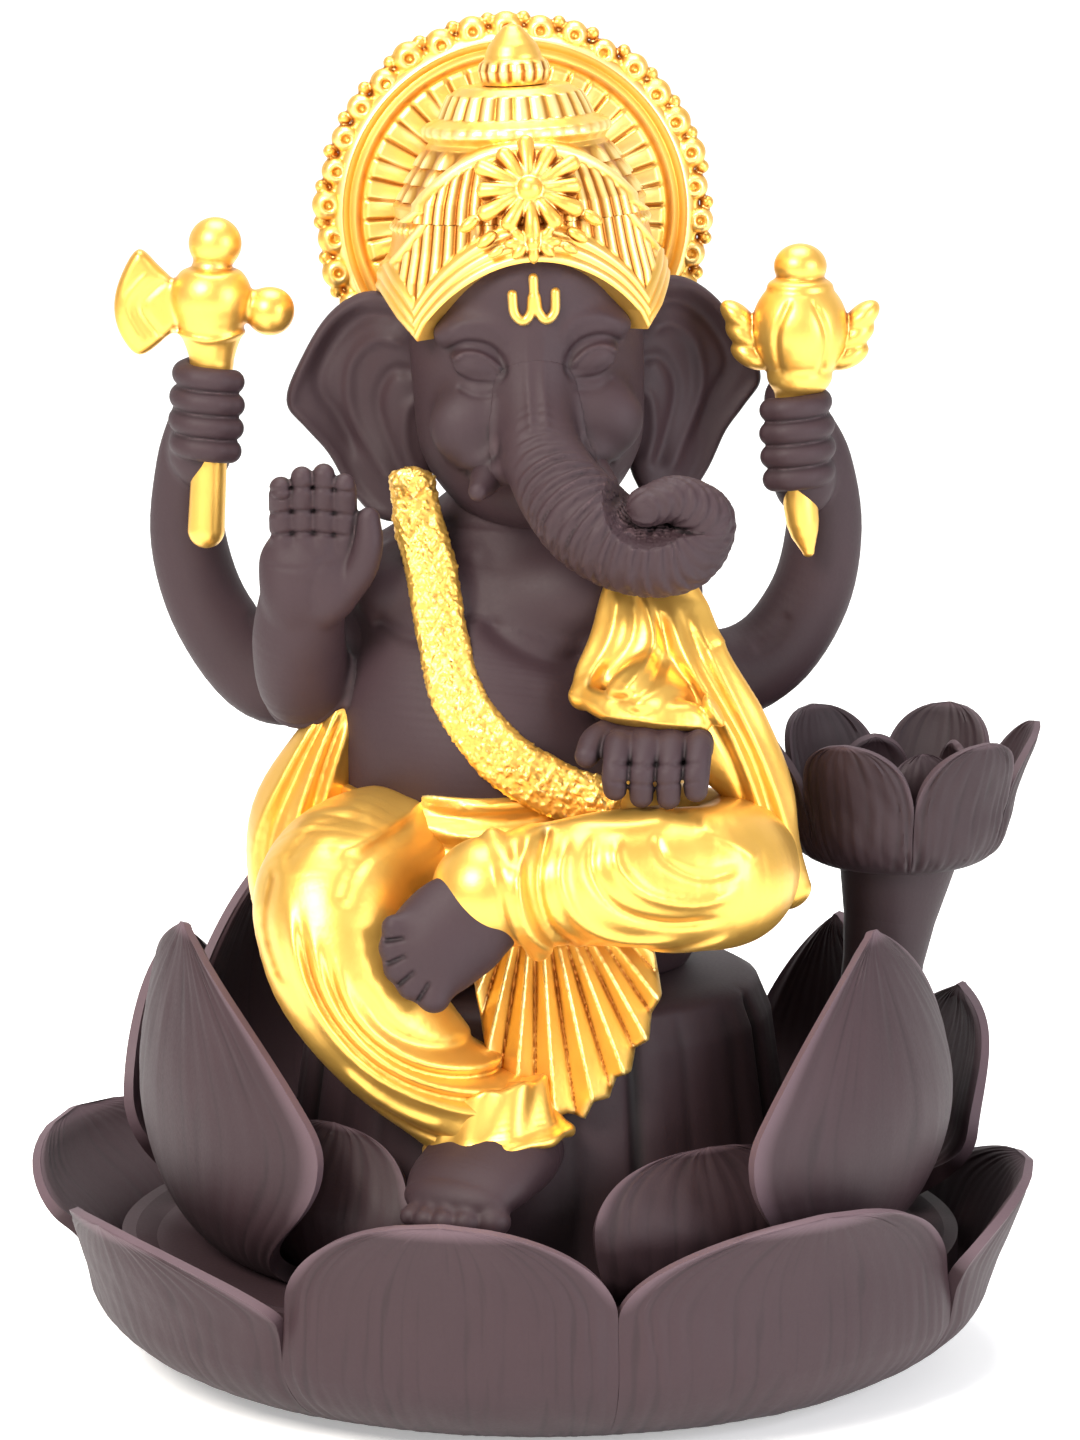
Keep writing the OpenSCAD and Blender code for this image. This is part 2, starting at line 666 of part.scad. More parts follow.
base_dish();
for (i = [1 : outer_n]) outer_petal(i - 1);
for (i = [1 : len(TALL)]) tall_petal(i - 1);
dish_petal(INNER[0]);  // inner_petal_left
dish_petal(INNER[1]);  // inner_petal_right
seat_pod();
bowl_stalk();
cone_bowl();
for (i = [1 : bowl_n]) bowl_petal(i - 1);
bowl_bud_petals();
torso();
head();
trunk();
tusks();
ear(-1);  // ear_left
ear(1);  // ear_right
crown_cap();
crown_band();
crown_finial();
crown_medallion();
halo_disc();
halo_beads();
forehead_mark();
axe_arm();
lotus_arm();
blessing_arm();
resting_hand();
battle_axe();
lotus_bud();
thread_sash();
shoulder_drape();
waist_wrap();
hip_gather();
hanging_leg();
folded_leg();
pleated_apron();
ankle_cuff();
tucked_foot();
planted_foot();
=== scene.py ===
"""A seated elephant-headed deity in purple clay and gold lustre, on a lotus with an incense bowl.

Each sub-assembly is a class. It holds its own sizes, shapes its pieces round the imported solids
and dresses them. Lengths are in millimetres until a mesh is made, and in metres from there on.
The figure faces -Y, +Z is up, and "left" and "right" are as seen from the front.
"""

import logging
import math
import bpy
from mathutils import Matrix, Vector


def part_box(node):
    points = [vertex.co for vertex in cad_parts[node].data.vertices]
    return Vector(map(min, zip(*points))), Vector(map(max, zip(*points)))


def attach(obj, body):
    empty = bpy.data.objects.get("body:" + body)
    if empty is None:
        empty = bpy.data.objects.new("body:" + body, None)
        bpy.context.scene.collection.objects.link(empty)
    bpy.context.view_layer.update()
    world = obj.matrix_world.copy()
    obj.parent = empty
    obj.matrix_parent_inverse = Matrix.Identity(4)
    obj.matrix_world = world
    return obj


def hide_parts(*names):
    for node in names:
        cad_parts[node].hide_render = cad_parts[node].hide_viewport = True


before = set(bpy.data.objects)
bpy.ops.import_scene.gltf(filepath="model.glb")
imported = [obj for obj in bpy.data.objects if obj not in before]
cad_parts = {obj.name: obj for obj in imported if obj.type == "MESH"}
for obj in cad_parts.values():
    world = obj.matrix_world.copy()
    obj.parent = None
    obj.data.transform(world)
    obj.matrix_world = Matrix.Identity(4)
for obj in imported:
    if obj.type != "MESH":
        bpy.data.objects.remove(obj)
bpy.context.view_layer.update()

from concurrent.futures import ThreadPoolExecutor
from dataclasses import dataclass
from enum import Enum
from typing import Callable, Optional, Sequence

import bpy
import numpy as np
from mathutils import Vector

LOG = logging.getLogger("deity")
MM = 0.001
ROOT_BODY = "root"
WORKERS = 4
CHUNK = 40000

# how sharply a fold may bend before its shading breaks, in degrees
CRISP_PLATE = 50
CRISP_SOLID = 35

Array = np.ndarray
Point = Sequence[float]
Tree = bpy.types.NodeTree
Node = bpy.types.Node
Socket = bpy.types.NodeSocket


# ---------------- curves and places


def unit(vectors: Array) -> Array:
    """Returns the vectors scaled to length one."""
    return vectors / np.maximum(np.linalg.norm(vectors, axis=-1, keepdims=True), 1e-9)


def through(points: Sequence[Point], per: int) -> Array:
    """Runs a Catmull-Rom curve through points.

    Args:
        points: rows of equal length, such as x, y, z and radii.
        per: steps between one point and the next.

    Returns:
        The rows along the curve, the given ones among them.
    """
    rows = np.asarray(points, float)
    padded = np.vstack([2 * rows[0] - rows[1], rows, 2 * rows[-1] - rows[-2]])
    t = (np.arange(per) / per)[None, :, None]
    a, b, c, d = (padded[i : len(rows) - 1 + i, None, :] for i in range(4))
    bent = 2 * b + (c - a) * t + (2 * a - 5 * b + 4 * c - d) * t**2 + (3 * b - a - 3 * c + d) * t**3
    return np.vstack([0.5 * bent.reshape(-1, rows.shape[1]), rows[-1:]])


def ease(low: float, high: float, values: Array) -> Array:
    """Returns 0 below low, 1 above high and a smooth rise between."""
    t = np.clip((values - low) / (high - low), 0.0, 1.0)
    return t * t * (3 - 2 * t)


def ripple(values: Array, sharp: float) -> Array:
    """Returns ridges of period 1 and height 0 to 1; sharp above 1 narrows them."""
    return (0.5 + 0.5 * np.cos(2 * np.pi * values)) ** sharp


def wobble(values: Array, seed: float) -> Array:
    """Returns a slow uneven wave between about -1 and 1, the same on every run."""
    waves = ((1.0, 1.7, 1.0), (0.6, 3.9, 2.3), (0.4, 8.3, 5.1))
    return sum(size * np.sin(values * rate + shift * seed) for size, rate, shift in waves) / 2.0


def lumps(p: Array, size: float, seed: float) -> Array:
    """Returns smooth three-dimensional lumps between about -1 and 1, of the given size."""
    q = p * (2 * np.pi / size)
    x, y, z = q[..., 0] + seed, q[..., 1] + 1.7 * seed, q[..., 2] + 2.3 * seed
    first = np.sin(x + 1.3 * np.sin(y)) * np.sin(y + 1.1 * np.sin(z)) * np.sin(z + 1.2 * np.sin(x))
    second = np.sin(1.9 * x + z) * np.sin(2.1 * y - x) * np.sin(1.8 * z + y)
    return first + 0.6 * second


def corners(node: str) -> tuple[Array, Array]:
    """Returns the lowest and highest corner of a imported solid, in millimetres."""
    low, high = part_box(node)
    return np.array(low) / MM, np.array(high) / MM


@dataclass(frozen=True)
class Place:
    """A local frame: where a sub-assembly is and how it is turned."""

    origin: tuple[float, float, float]
    turn: float = 0.0
    lean: float = 0.0

    @property
    def axes(self) -> Array:
        """Returns the local axes as the columns of a matrix: leant about Y, then turned about Z."""
        a, b = math.radians(self.turn), math.radians(self.lean)
        about_z = np.array([[math.cos(a), -math.sin(a), 0], [math.sin(a), math.cos(a), 0], [0, 0, 1]])
        about_y = np.array([[math.cos(b), 0, math.sin(b)], [0, 1, 0], [-math.sin(b), 0, math.cos(b)]])
        return about_z @ about_y

    def inside(self, p: Array) -> Array:
        """Returns shared points in this frame."""
        return (p - np.array(self.origin)) @ self.axes

    def outside(self, p: Array) -> Array:
        """Returns this frame's points in the shared frame."""
        return np.asarray(p) @ self.axes.T + np.array(self.origin)


# ---------------- solid forms

# the eight corners of a unit cube
CORNERS = np.array([[i, j, k] for i in (0, 1) for j in (0, 1) for k in (0, 1)])


class Form:
    """A solid known by its signed distance, which is negative inside."""

    def __call__(self, p: Array) -> Array:
        """Returns the signed distance at each point."""
        raise NotImplementedError

    def box(self) -> tuple[Array, Array]:
        """Returns the lowest and highest corner that the solid may reach."""
        raise NotImplementedError

    def uncut(self) -> "Form":
        """Returns the form whose edges and hollows decide the painted highlight and the painted shade."""
        return self


@dataclass
class Egg(Form):
    """An ellipsoid, turned about X, Y and then Z by degrees."""

    centre: Point
    radii: Point
    turns: Point = (0, 0, 0)

    def __call__(self, p: Array) -> Array:
        """Returns the signed distance at each point."""
        q = p - np.array(self.centre, float)
        if any(self.turns):
            a, b, c = np.radians(self.turns)
            x = np.array([[1, 0, 0], [0, np.cos(a), -np.sin(a)], [0, np.sin(a), np.cos(a)]])
            y = np.array([[np.cos(b), 0, np.sin(b)], [0, 1, 0], [-np.sin(b), 0, np.cos(b)]])
            z = np.array([[np.cos(c), -np.sin(c), 0], [np.sin(c), np.cos(c), 0], [0, 0, 1]])
            q = q @ (z @ y @ x)
        r = np.array(self.radii, float)
        near = np.linalg.norm(q / r, axis=1)
        far = np.maximum(np.linalg.norm(q / (r * r), axis=1), 1e-6)
        return near * (near - 1) / far

    def box(self) -> tuple[Array, Array]:
        """Returns the lowest and highest corner that the solid may reach."""
        reach = np.array(self.radii, float) if not any(self.turns) else np.full(3, max(self.radii))
        return np.array(self.centre) - reach, np.array(self.centre) + reach


def nearest(line: Array, p: Array) -> tuple[Array, Array]:
    """Finds where a polyline comes nearest to each point.

    Args:
        line: the polyline's points, in two or three dimensions.
        p: the points.

    Returns:
        The distance, and the place along the line as a row number with its fraction.
    """
    a, d = line[:-1], np.diff(line, axis=0)
    dd = np.maximum((d * d).sum(1), 1e-9)
    along = p @ d.T - (a * d).sum(1)
    t = np.clip(along / dd, 0.0, 1.0)
    gap = (p * p).sum(1)[:, None] - 2 * p @ a.T + (a * a).sum(1) - 2 * t * along + t * t * dd
    k = gap.argmin(1)
    rows = np.arange(len(p))
    return np.sqrt(np.maximum(gap[rows, k], 0.0)), k + t[rows, k]


def blend_rows(rows: Array, place: Array) -> Array:
    """Returns the rows at fractional row numbers."""
    k = np.minimum(place.astype(int), len(rows) - 2)
    t = (place - k)[:, None]
    return rows[k] * (1 - t) + rows[k + 1] * t


@dataclass
class Limb(Form):
    """A rounded limb through stations of x, y, z, radius across and radius along `deep`.

    Its ends are round, or cut square if it is `flat`.
    """

    stations: Sequence[Point]
    deep: Point = (0, 1, 0)
    per: int = 6
    relief: Optional[Callable[[Array, Array, Array], Array]] = None
    flat: bool = False

    def __post_init__(self) -> None:
        """Works out the centre line, its local directions and its length so far."""
        rows = through(self.stations, self.per)
        self.line, self.radii = rows[:, :3], np.maximum(rows[:, 3:5], 0.2)
        ahead = unit(np.gradient(self.line, axis=0))
        side = unit(np.cross(ahead, np.array(self.deep, float)))
        self.ways = np.hstack([ahead, side, np.cross(ahead, side)])
        steps = np.linalg.norm(np.diff(self.line, axis=0), axis=1)
        self.run = np.concatenate([[0], np.cumsum(steps)])

    def __call__(self, p: Array) -> Array:
        """Returns the signed distance at each point."""
        _, place = nearest(self.line, p)
        o = p - blend_rows(self.line, place)
        ways = blend_rows(self.ways, place)
        r = blend_rows(self.radii, place)
        a = (o * ways[:, 3:6]).sum(1)
        b = (o * ways[:, 6:9]).sum(1)
        c = (o * ways[:, 0:3]).sum(1)
        c = c * (0 if self.flat else 1) / r.min(1)
        e = np.sqrt((a / r[:, 0]) ** 2 + (b / r[:, 1]) ** 2 + c**2)
        length = np.hypot(a, b) if self.flat else np.linalg.norm(o, axis=1)
        d = (e - 1) * length / np.maximum(e, 1e-6)
        d = np.where(e < 1e-3, -r.min(1), d)
        if self.flat:
            foot = (self.line[0] - p) @ self.ways[0, :3]
            head = (p - self.line[-1]) @ self.ways[-1, :3]
            d = smooth_max(d, np.maximum(foot, head), 0.8)
        if self.relief is not None:
            run = np.interp(place, np.arange(len(self.run)), self.run)
            d = d - self.relief(run, np.arctan2(a / r[:, 0], b / r[:, 1]), p)
        return d

    def box(self) -> tuple[Array, Array]:
        """Returns the lowest and highest corner that the solid may reach."""
        reach = self.radii.max(1)[:, None] + (1.5 if self.relief else 0)
        return (self.line - reach).min(0), (self.line + reach).max(0)


@dataclass
class Slab(Form):
    """A flat plate with rounded edges: an outline in x and z, thick along y and bent by `bow`."""

    outline: Sequence[Point]
    y: float
    thick: float
    bow: Optional[Callable[[Array], Array]] = None
    soft: float = 1.0

    def __call__(self, p: Array) -> Array:
        """Returns the signed distance at each point."""
        ring = np.asarray(self.outline, float)
        flat = p[:, [0, 2]]
        away, _ = nearest(np.vstack([ring, ring[:1]]), flat)
        x, z = flat[:, 0], flat[:, 1]
        inside = np.zeros(len(p), bool)
        for (x0, z0), (x1, z1) in zip(ring, np.roll(ring, -1, axis=0)):
            crosses = (z0 > z) != (z1 > z)
            inside ^= crosses & (x < (x1 - x0) * (z - z0) / (z1 - z0 + 1e-12) + x0)
        edge = np.where(inside, -away, away)
        middle = self.y + (self.bow(p) if self.bow else 0.0)
        face = np.abs(p[:, 1] - middle) - self.thick / 2
        return smooth_max(edge, face, self.soft)

    def box(self) -> tuple[Array, Array]:
        """Returns the lowest and highest corner that the solid may reach."""
        ring = np.asarray(self.outline, float)
        reach = self.thick / 2 + (8 if self.bow else 0)
        low = np.array([ring[:, 0].min(), self.y - reach, ring[:, 1].min()])
        high = np.array([ring[:, 0].max(), self.y + reach, ring[:, 1].max()])
        return low - 0.5, high + 0.5


def smooth_min(a: Array, b: Array, k: float) -> Array:
    """Returns the smaller value, with the change rounded over k."""
    h = np.clip(0.5 + 0.5 * (b - a) / k, 0.0, 1.0)
    return b * (1 - h) + a * h - k * h * (1 - h)


def smooth_max(a: Array, b: Array, k: float) -> Array:
    """Returns the larger value, with the change rounded over k."""
    return -smooth_min(-a, -b, k)


@dataclass
class Fused(Form):
    """Forms modelled into one, with joins rounded over `soft`."""

    forms: Sequence[Form]
    soft: float = 2.0

    def __call__(self, p: Array) -> Array:
        """Returns the signed distance at each point."""
        d = self.forms[0](p)
        for form in self.forms[1:]:
            d = smooth_min(d, form(p), self.soft)
        return d

    def box(self) -> tuple[Array, Array]:
        """Returns the lowest and highest corner that the solid may reach."""
        lows, highs = zip(*[form.box() for form in self.forms])
        swell = self.soft / 4
        return np.min(lows, 0) - swell, np.max(highs, 0) + swell


@dataclass
class Pebbles(Form):
    """Many upright ellipsoids, run together where they touch."""

    centres: Sequence[Point]
    radii: Sequence[Point]
    soft: float = 0.15

    def __call__(self, p: Array) -> Array:
        """Returns the signed distance at each point."""
        c, r = np.asarray(self.centres, np.float32), np.asarray(self.radii, np.float32)
        q = p.astype(np.float32)[:, None, :] - c
        near = np.sqrt(((q / r) ** 2).sum(2))
        far = np.maximum(np.sqrt(((q / (r * r)) ** 2).sum(2)), 1e-6)
        d = near * (near - 1) / far
        least = d.min(1)
        return least - self.soft * np.log(np.exp((least[:, None] - d) / self.soft).sum(1))

    def box(self) -> tuple[Array, Array]:
        """Returns the lowest and highest corner that the solid may reach."""
        c, r = np.asarray(self.centres, float), np.asarray(self.radii, float)
        return (c - r).min(0) - self.soft, (c + r).max(0) + self.soft


@dataclass
class Worked(Form):
    """A form made out of another one, inside the same box."""

    body: Form

    def box(self) -> tuple[Array, Array]:
        """Returns the lowest and highest corner that the solid may reach."""
        return self.body.box()


@dataclass
class Cut(Worked):
    """A form with others cut out of it, with edges rounded over `soft`."""

    tools: Sequence[Form]
    soft: float = 0.3

    def __call__(self, p: Array) -> Array:
        """Returns the signed distance at each point."""
        d = self.body(p)
        for tool in self.tools:
            d = smooth_max(d, -tool(p), self.soft)
        return d


@dataclass
class Lap(Worked):
    """The part of a form outside another one, with a thin lip that runs on under it."""

    over: Form
    lip: float = 0.6
    drop: float = 0.04

    def __call__(self, p: Array) -> Array:
        """Returns the signed distance at each point."""
        d, over = self.body(p), self.over(p)
        return np.minimum(np.maximum(d, -over), np.maximum(d + self.drop, -self.lip - over))

    def uncut(self) -> Form:
        """Returns the whole form, so that a parting line gets no painted highlight."""
        return self.body


@dataclass
class Kept(Worked):
    """The part of a form that lies inside another one."""

    limit: Form
    soft: float = 0.05

    def __call__(self, p: Array) -> Array:
        """Returns the signed distance at each point."""
        return smooth_max(self.body(p), self.limit(p), self.soft)

    def uncut(self) -> Form:
        """Returns the whole form, so that a parting line gets no painted highlight."""
        return self.body

    def box(self) -> tuple[Array, Array]:
        """Returns the lowest and highest corner that the solid may reach."""
        body, limit = self.body.box(), self.limit.box()
        return np.maximum(body[0], limit[0]), np.minimum(body[1], limit[1])


@dataclass
class Stroke:
    """A line drawn on a form with a modelling tool: raised if its height is over zero.

    Points have x and z, drawn from the front, or x, y and z. `near` keeps a front stroke to
    points with y below it, and the height fades to both ends over `fade` of the length.
    """

    points: Sequence[Point]
    width: float
    height: float
    near: float = 0.0
    fade: float = 0.15

    def raise_at(self, p: Array) -> Array:
        """Returns how far the stroke raises the surface at each point."""
        line = through(self.points, 5)
        flat = line.shape[1] == 2
        q = p[:, [0, 2]] if flat else p
        reach = 2.6 * self.width
        close = np.all((q > line.min(0) - reach) & (q < line.max(0) + reach), axis=1)
        if flat:
            close &= p[:, 1] < self.near + 1.5
        lift = np.zeros(len(p))
        if close.any():
            away, place = nearest(line, q[close])
            t = place / (len(line) - 1)
            h = self.height * np.exp(-((away / self.width) ** 2))
            if self.fade > 0:
                h = h * ease(0, self.fade, t) * ease(0, self.fade, 1 - t)
            if flat:
                h = h * ease(-1.5, 0.0, self.near - p[close, 1])
            lift[close] = h
        return lift


@dataclass
class Chased(Form):
    """A form with strokes and a relief drawn on it, which are worked out within `band` of it."""

    body: Form
    strokes: Sequence[Stroke] = ()
    relief: Optional[Callable[[Array], Array]] = None
    band: float = 4.0

    def __call__(self, p: Array) -> Array:
        """Returns the signed distance at each point."""
        d = self.body(p)
        near = np.abs(d) < self.band
        if near.any():
            q = p[near]
            lift = np.zeros(len(q))
            for stroke in self.strokes:
                lift += stroke.raise_at(q)
            if self.relief is not None:
                lift += self.relief(q)
            d[near] -= lift * ease(0, 1.5, self.band - np.abs(d[near]))
        return d

    def box(self) -> tuple[Array, Array]:
        """Returns the lowest and highest corner that the solid may reach."""
        low, high = self.body.box()
        return low - 1.2, high + 1.2


@dataclass
class Posed(Form):
    """A form drawn in a place's own frame, set down in the shared one."""

    body: Form
    place: Place

    def __call__(self, p: Array) -> Array:
        """Returns the signed distance at each point."""
        return self.body(self.place.inside(p))

    def box(self) -> tuple[Array, Array]:
        """Returns the lowest and highest corner that the solid may reach."""
        low, high = self.body.box()
        placed = self.place.outside(low + CORNERS * (high - low))
        return placed.min(0), placed.max(0)


# ---------------- meshes


@dataclass
class Skin:
    """A closed mesh: points in millimetres, faces, and two masks that its finish reads: painted highlight
    on edges and painted shade in hollows.

    A `crisp` mesh keeps its sharp edges.
    """

    points: Array
    quads: Array
    painted_highlight: Array
    hollow: Array
    crisp: bool = False


def measure(form: Form, p: Array) -> Array:
    """Returns a form's distance at many points, worked out a share at a time on all cores."""
    if len(p) <= CHUNK:
        return form(p)
    shares = np.array_split(p, math.ceil(len(p) / CHUNK))
    with ThreadPoolExecutor(WORKERS) as pool:
        return np.concatenate(list(pool.map(form, shares)))


def sample(form: Form, step: float, block: int = 8) -> tuple[Array, Array]:
    """Measures a form on a grid, in full only where its surface is near.

    Args:
        form: what is measured.
        step: distance between grid points.
        block: grid points along one side of a block that is measured or skipped as a whole.

    Returns:
        The distances on the grid, and the grid's lowest corner.
    """
    low, high = form.box()
    low = low - 2.5 * step
    blocks = np.ceil((high + 2.5 * step - low) / (step * block)).astype(int)
    size = blocks * block
    at = np.stack(np.meshgrid(*[np.arange(n) for n in blocks], indexing="ij"), -1).reshape(-1, 3)
    middles = low + (at + 0.5) * block * step - step / 2
    rough = measure(form, middles)
    # half a block's diagonal, with room for a distance that is not exact and for relief
    reach = block * step * 0.87 * 1.35 + 1.2
    grid = rough.reshape(blocks).astype(np.float32)
    for axis in range(3):
        grid = np.repeat(grid, block, axis)
    chosen = at[np.abs(rough) < reach]
    inner = np.stack(np.meshgrid(*[np.arange(block)] * 3, indexing="ij"), -1).reshape(-1, 3)
    index = (chosen[:, None, :] * block + inner[None]).reshape(-1, 3)
    grid[tuple(index.T)] = measure(form, low + index * step)
    edge = np.ones(size, bool)
    edge[1:-1, 1:-1, 1:-1] = False
    grid[edge] = np.maximum(grid[edge], 0.1)
    return grid, low


EDGES = [(a, b) for a in range(8) for b in range(a + 1, 8) if np.abs(CORNERS[a] - CORNERS[b]).sum() == 1]


def net(grid: Array, low: Array, step: float) -> tuple[Array, Array]:
    """Lays a net of quads over the surface where a grid of distances changes sign.

    Args:
        grid: distances on the grid.
        low: the grid's lowest corner.
        step: distance between grid points.

    Returns:
        The net's points and its quads.
    """
    inside = grid < 0
    n = np.array(grid.shape) - 1
    count = sum(inside[i : n[0] + i, j : n[1] + j, k : n[2] + k].astype(np.int8) for i, j, k in CORNERS)
    cells = np.stack(np.nonzero((count > 0) & (count < 8)), 1)
    value = np.stack([grid[tuple((cells + c).T)] for c in CORNERS], 1).astype(float)
    total, hits = np.zeros((len(cells), 3)), np.zeros(len(cells))
    for a, b in EDGES:
        crossed = (value[:, a] < 0) != (value[:, b] < 0)
        t = value[crossed, a] / (value[crossed, a] - value[crossed, b])
        total[crossed] += CORNERS[a] + t[:, None] * (CORNERS[b] - CORNERS[a])
        hits[crossed] += 1
    points = low + step * (cells + total / hits[:, None])
    number = np.full(n, -1, np.int64)
    number[tuple(cells.T)] = np.arange(len(cells))
    quads = []
    for axis in range(3):
        u, v = (axis + 1) % 3, (axis + 2) % 3
        span = [slice(1, -1)] * 3
        here, there = list(span), list(span)
        here[axis], there[axis] = slice(0, -1), slice(1, None)
        change = inside[tuple(here)] != inside[tuple(there)]
        at = np.stack(np.nonzero(change), 1)
        at[:, u] += 1
        at[:, v] += 1
        ring = []
        for du, dv in ((1, 1), (0, 1), (0, 0), (1, 0)):
            cell = at.copy()
            cell[:, u] -= du
            cell[:, v] -= dv
            ring.append(number[tuple(cell.T)])
        face = np.stack(ring, 1)
        outward = inside[tuple(at.T)]
        quads.append(np.where(outward[:, None], face, face[:, ::-1]))
    return points, np.vstack(quads)


def skin_of(form: Form, step: float) -> Skin:
    """Makes the mesh of a form, pulls it onto the true surface and works out its painted highlight on edges
    and its painted shade in hollows.
    """
    points, quads = net(*sample(form, step), step)
    tiny = 0.25 * step
    d = measure(form, points)
    slope = np.stack([measure(form, points + tiny * axis) - d for axis in np.eye(3)], 1) / tiny
    size = np.maximum((slope * slope).sum(1), 0.09)
    points = points - np.clip(d, -step, step)[:, None] * slope / size[:, None]
    normal = unit(slope)
    look, whole = 0.9, form.uncut()
    # painted shade: darker where a step out along the normal lands back inside the form, as in hollows and
    # creases
    hollow = np.clip(1 - measure(whole, points + look * normal) / look, 0, 1)
    # painted highlight: lighter where a step in along the normal comes out of the form, as on edges and
    # ridges
    painted_highlight = np.clip(1 + measure(whole, points - look * normal) / look, 0, 1)
    return Skin(points, quads, painted_highlight, hollow)


def join(skins: Sequence[Skin]) -> Skin:
    """Puts several closed meshes into one."""
    starts = np.cumsum([0] + [len(s.points) for s in skins[:-1]])
    return Skin(
        np.vstack([s.points for s in skins]),
        np.vstack([s.quads + start for s, start in zip(skins, starts)]),
        np.concatenate([s.painted_highlight for s in skins]),
        np.concatenate([s.hollow for s in skins]),
        skins[0].crisp,
    )


def plate(front: Array, back: Array, painted_highlight: Array, hollow: Array) -> Skin:
    """Closes two grids of points, front and back, into one plate.

    Args:
        front: the front's points, rows by columns by three.
        back: the back's points, in the same order.
        painted_highlight: mask of the painted highlight on edges and ridges, rows by columns.
        hollow: mask of the painted shade in hollows, rows by columns.

    Returns:
        The closed plate, whose front faces the way columns cross rows.
    """
    rows, columns = front.shape[:2]
    index = np.arange(rows * columns).reshape(rows, columns)
    face = np.stack([index[:-1, :-1], index[:-1, 1:], index[1:, 1:], index[1:, :-1]], -1).reshape(-1, 4)
    rim = np.concatenate([index[0], index[1:, -1], index[-1, -2::-1], index[-2:0:-1, 0]])
    after = np.roll(rim, -1)
    other = rows * columns
    wall = np.stack([after, rim, rim + other, after + other], 1)
    return Skin(
        np.vstack([front.reshape(-1, 3), back.reshape(-1, 3)]),
        np.vstack([face, face[:, ::-1] + other, wall]),
        np.tile(painted_highlight.reshape(-1), 2),
        np.tile(hollow.reshape(-1), 2),
        crisp=True,
    )


def hoop(outer: Array, inner: Array, painted_highlight: Array, hollow: Array) -> Skin:
    """Closes an outer and an inner grid, whose columns go all the way round, into one shell.

    Args:
        outer: the outer points, rows by columns by three, rows going up.
        inner: the inner points, in the same order.
        painted_highlight: mask of the painted highlight on edges and ridges, rows by columns.
        hollow: mask of the painted shade in hollows, rows by columns.

    Returns:
        The closed shell.
    """
    rows, columns = outer.shape[:2]
    index = np.arange(rows * columns).reshape(rows, columns)
    after = np.roll(index, -1, axis=1)
    face = np.stack([index[:-1], after[:-1], after[1:], index[1:]], -1).reshape(-1, 4)
    other = rows * columns
    foot = np.stack([index[0], index[0] + other, after[0] + other, after[0]], 1)
    top = np.stack([index[-1], after[-1], after[-1] + other, index[-1] + other], 1)
    return Skin(
        np.vstack([outer.reshape(-1, 3), inner.reshape(-1, 3)]),
        np.vstack([face, face[:, ::-1] + other, foot, top]),
        np.tile(painted_highlight.reshape(-1), 2),
        np.tile(hollow.reshape(-1), 2),
        crisp=True,
    )


# ---------------- finishes


def linear(code: str) -> tuple[float, float, float, float]:
    """Returns a linear colour for a hex code such as "#5c4a4e"."""
    parts = (int(code[i : i + 2], 16) / 255 for i in (1, 3, 5))
    return (*(c / 12.92 if c <= 0.04045 else ((c + 0.055) / 1.055) ** 2.4 for c in parts), 1.0)


def add_node(tree: Tree, kind: str, inputs: Optional[dict] = None, **settings) -> Node:
    """Adds a shader node.

    Args:
        tree: the material's node tree.
        kind: the node's type without its "ShaderNode".
        inputs: what goes into its sockets, by name or number; a value or another node's socket.
        **settings: the node's own properties.

    Returns:
        The node.
    """
    made = tree.nodes.new("ShaderNode" + kind)
    for name, value in settings.items():
        setattr(made, name, value)
    for key, value in (inputs or {}).items():
        socket = made.inputs[key]
        if isinstance(value, Socket):
            tree.links.new(value, socket)
        else:
            socket.default_value = value
    return made


MIX_FACTOR, MIX_A, MIX_B, MIX_RESULT = 0, 6, 7, 2


@dataclass(frozen=True)
class Finish:
    """A procedural finish. Its subclasses say what it is made of."""

    title: str

    def surface(self, tree: Tree) -> Node:
        """Adds the finish's nodes and returns the shader."""
        raise NotImplementedError

    def material(self) -> bpy.types.Material:
        """Returns the finish's material, made at its first use."""
        made = bpy.data.materials.get(self.title)
        if made is None:
            made = bpy.data.materials.new(self.title)
            made.use_nodes = True
            made.node_tree.nodes.clear()
            shader = self.surface(made.node_tree)
            add_node(made.node_tree, "OutputMaterial", {"Surface": shader.outputs[0]})
        return made

    @staticmethod
    def tone(tree: Tree, name: str, low: float, high: float) -> Socket:
        """Returns one of the mesh's tones, stretched from low..high to 0..1."""
        read = add_node(tree, "Attribute", attribute_name=name)
        stretch = {"Value": read.outputs["Fac"], "From Min": low, "From Max": high}
        return add_node(tree, "MapRange", stretch, clamp=True).outputs[0]

    @staticmethod
    def around(tree: Tree, value: object, low: float, high: float) -> Socket:
        """Returns a value from 0..1 spread over low..high."""
        return add_node(tree, "MapRange", {"Value": value, "To Min": low, "To Max": high}).outputs[0]

    @staticmethod
    def mix(tree: Tree, factor: object, a: object, b: object) -> Socket:
        """Returns a mix of two colours."""
        inputs = {MIX_FACTOR: factor, MIX_A: a, MIX_B: b}
        return add_node(tree, "Mix", inputs, data_type="RGBA").outputs[MIX_RESULT]

    @staticmethod
    def grain(tree: Tree, size: float, detail: float = 3.0) -> Socket:
        """Returns noise whose lumps are about `size` millimetres across."""
        place = add_node(tree, "TexCoord").outputs["Object"]
        noise = {"Vector": place, "Scale": 1 / (size * MM), "Detail": detail}
        return add_node(tree, "TexNoise", noise).outputs[0]


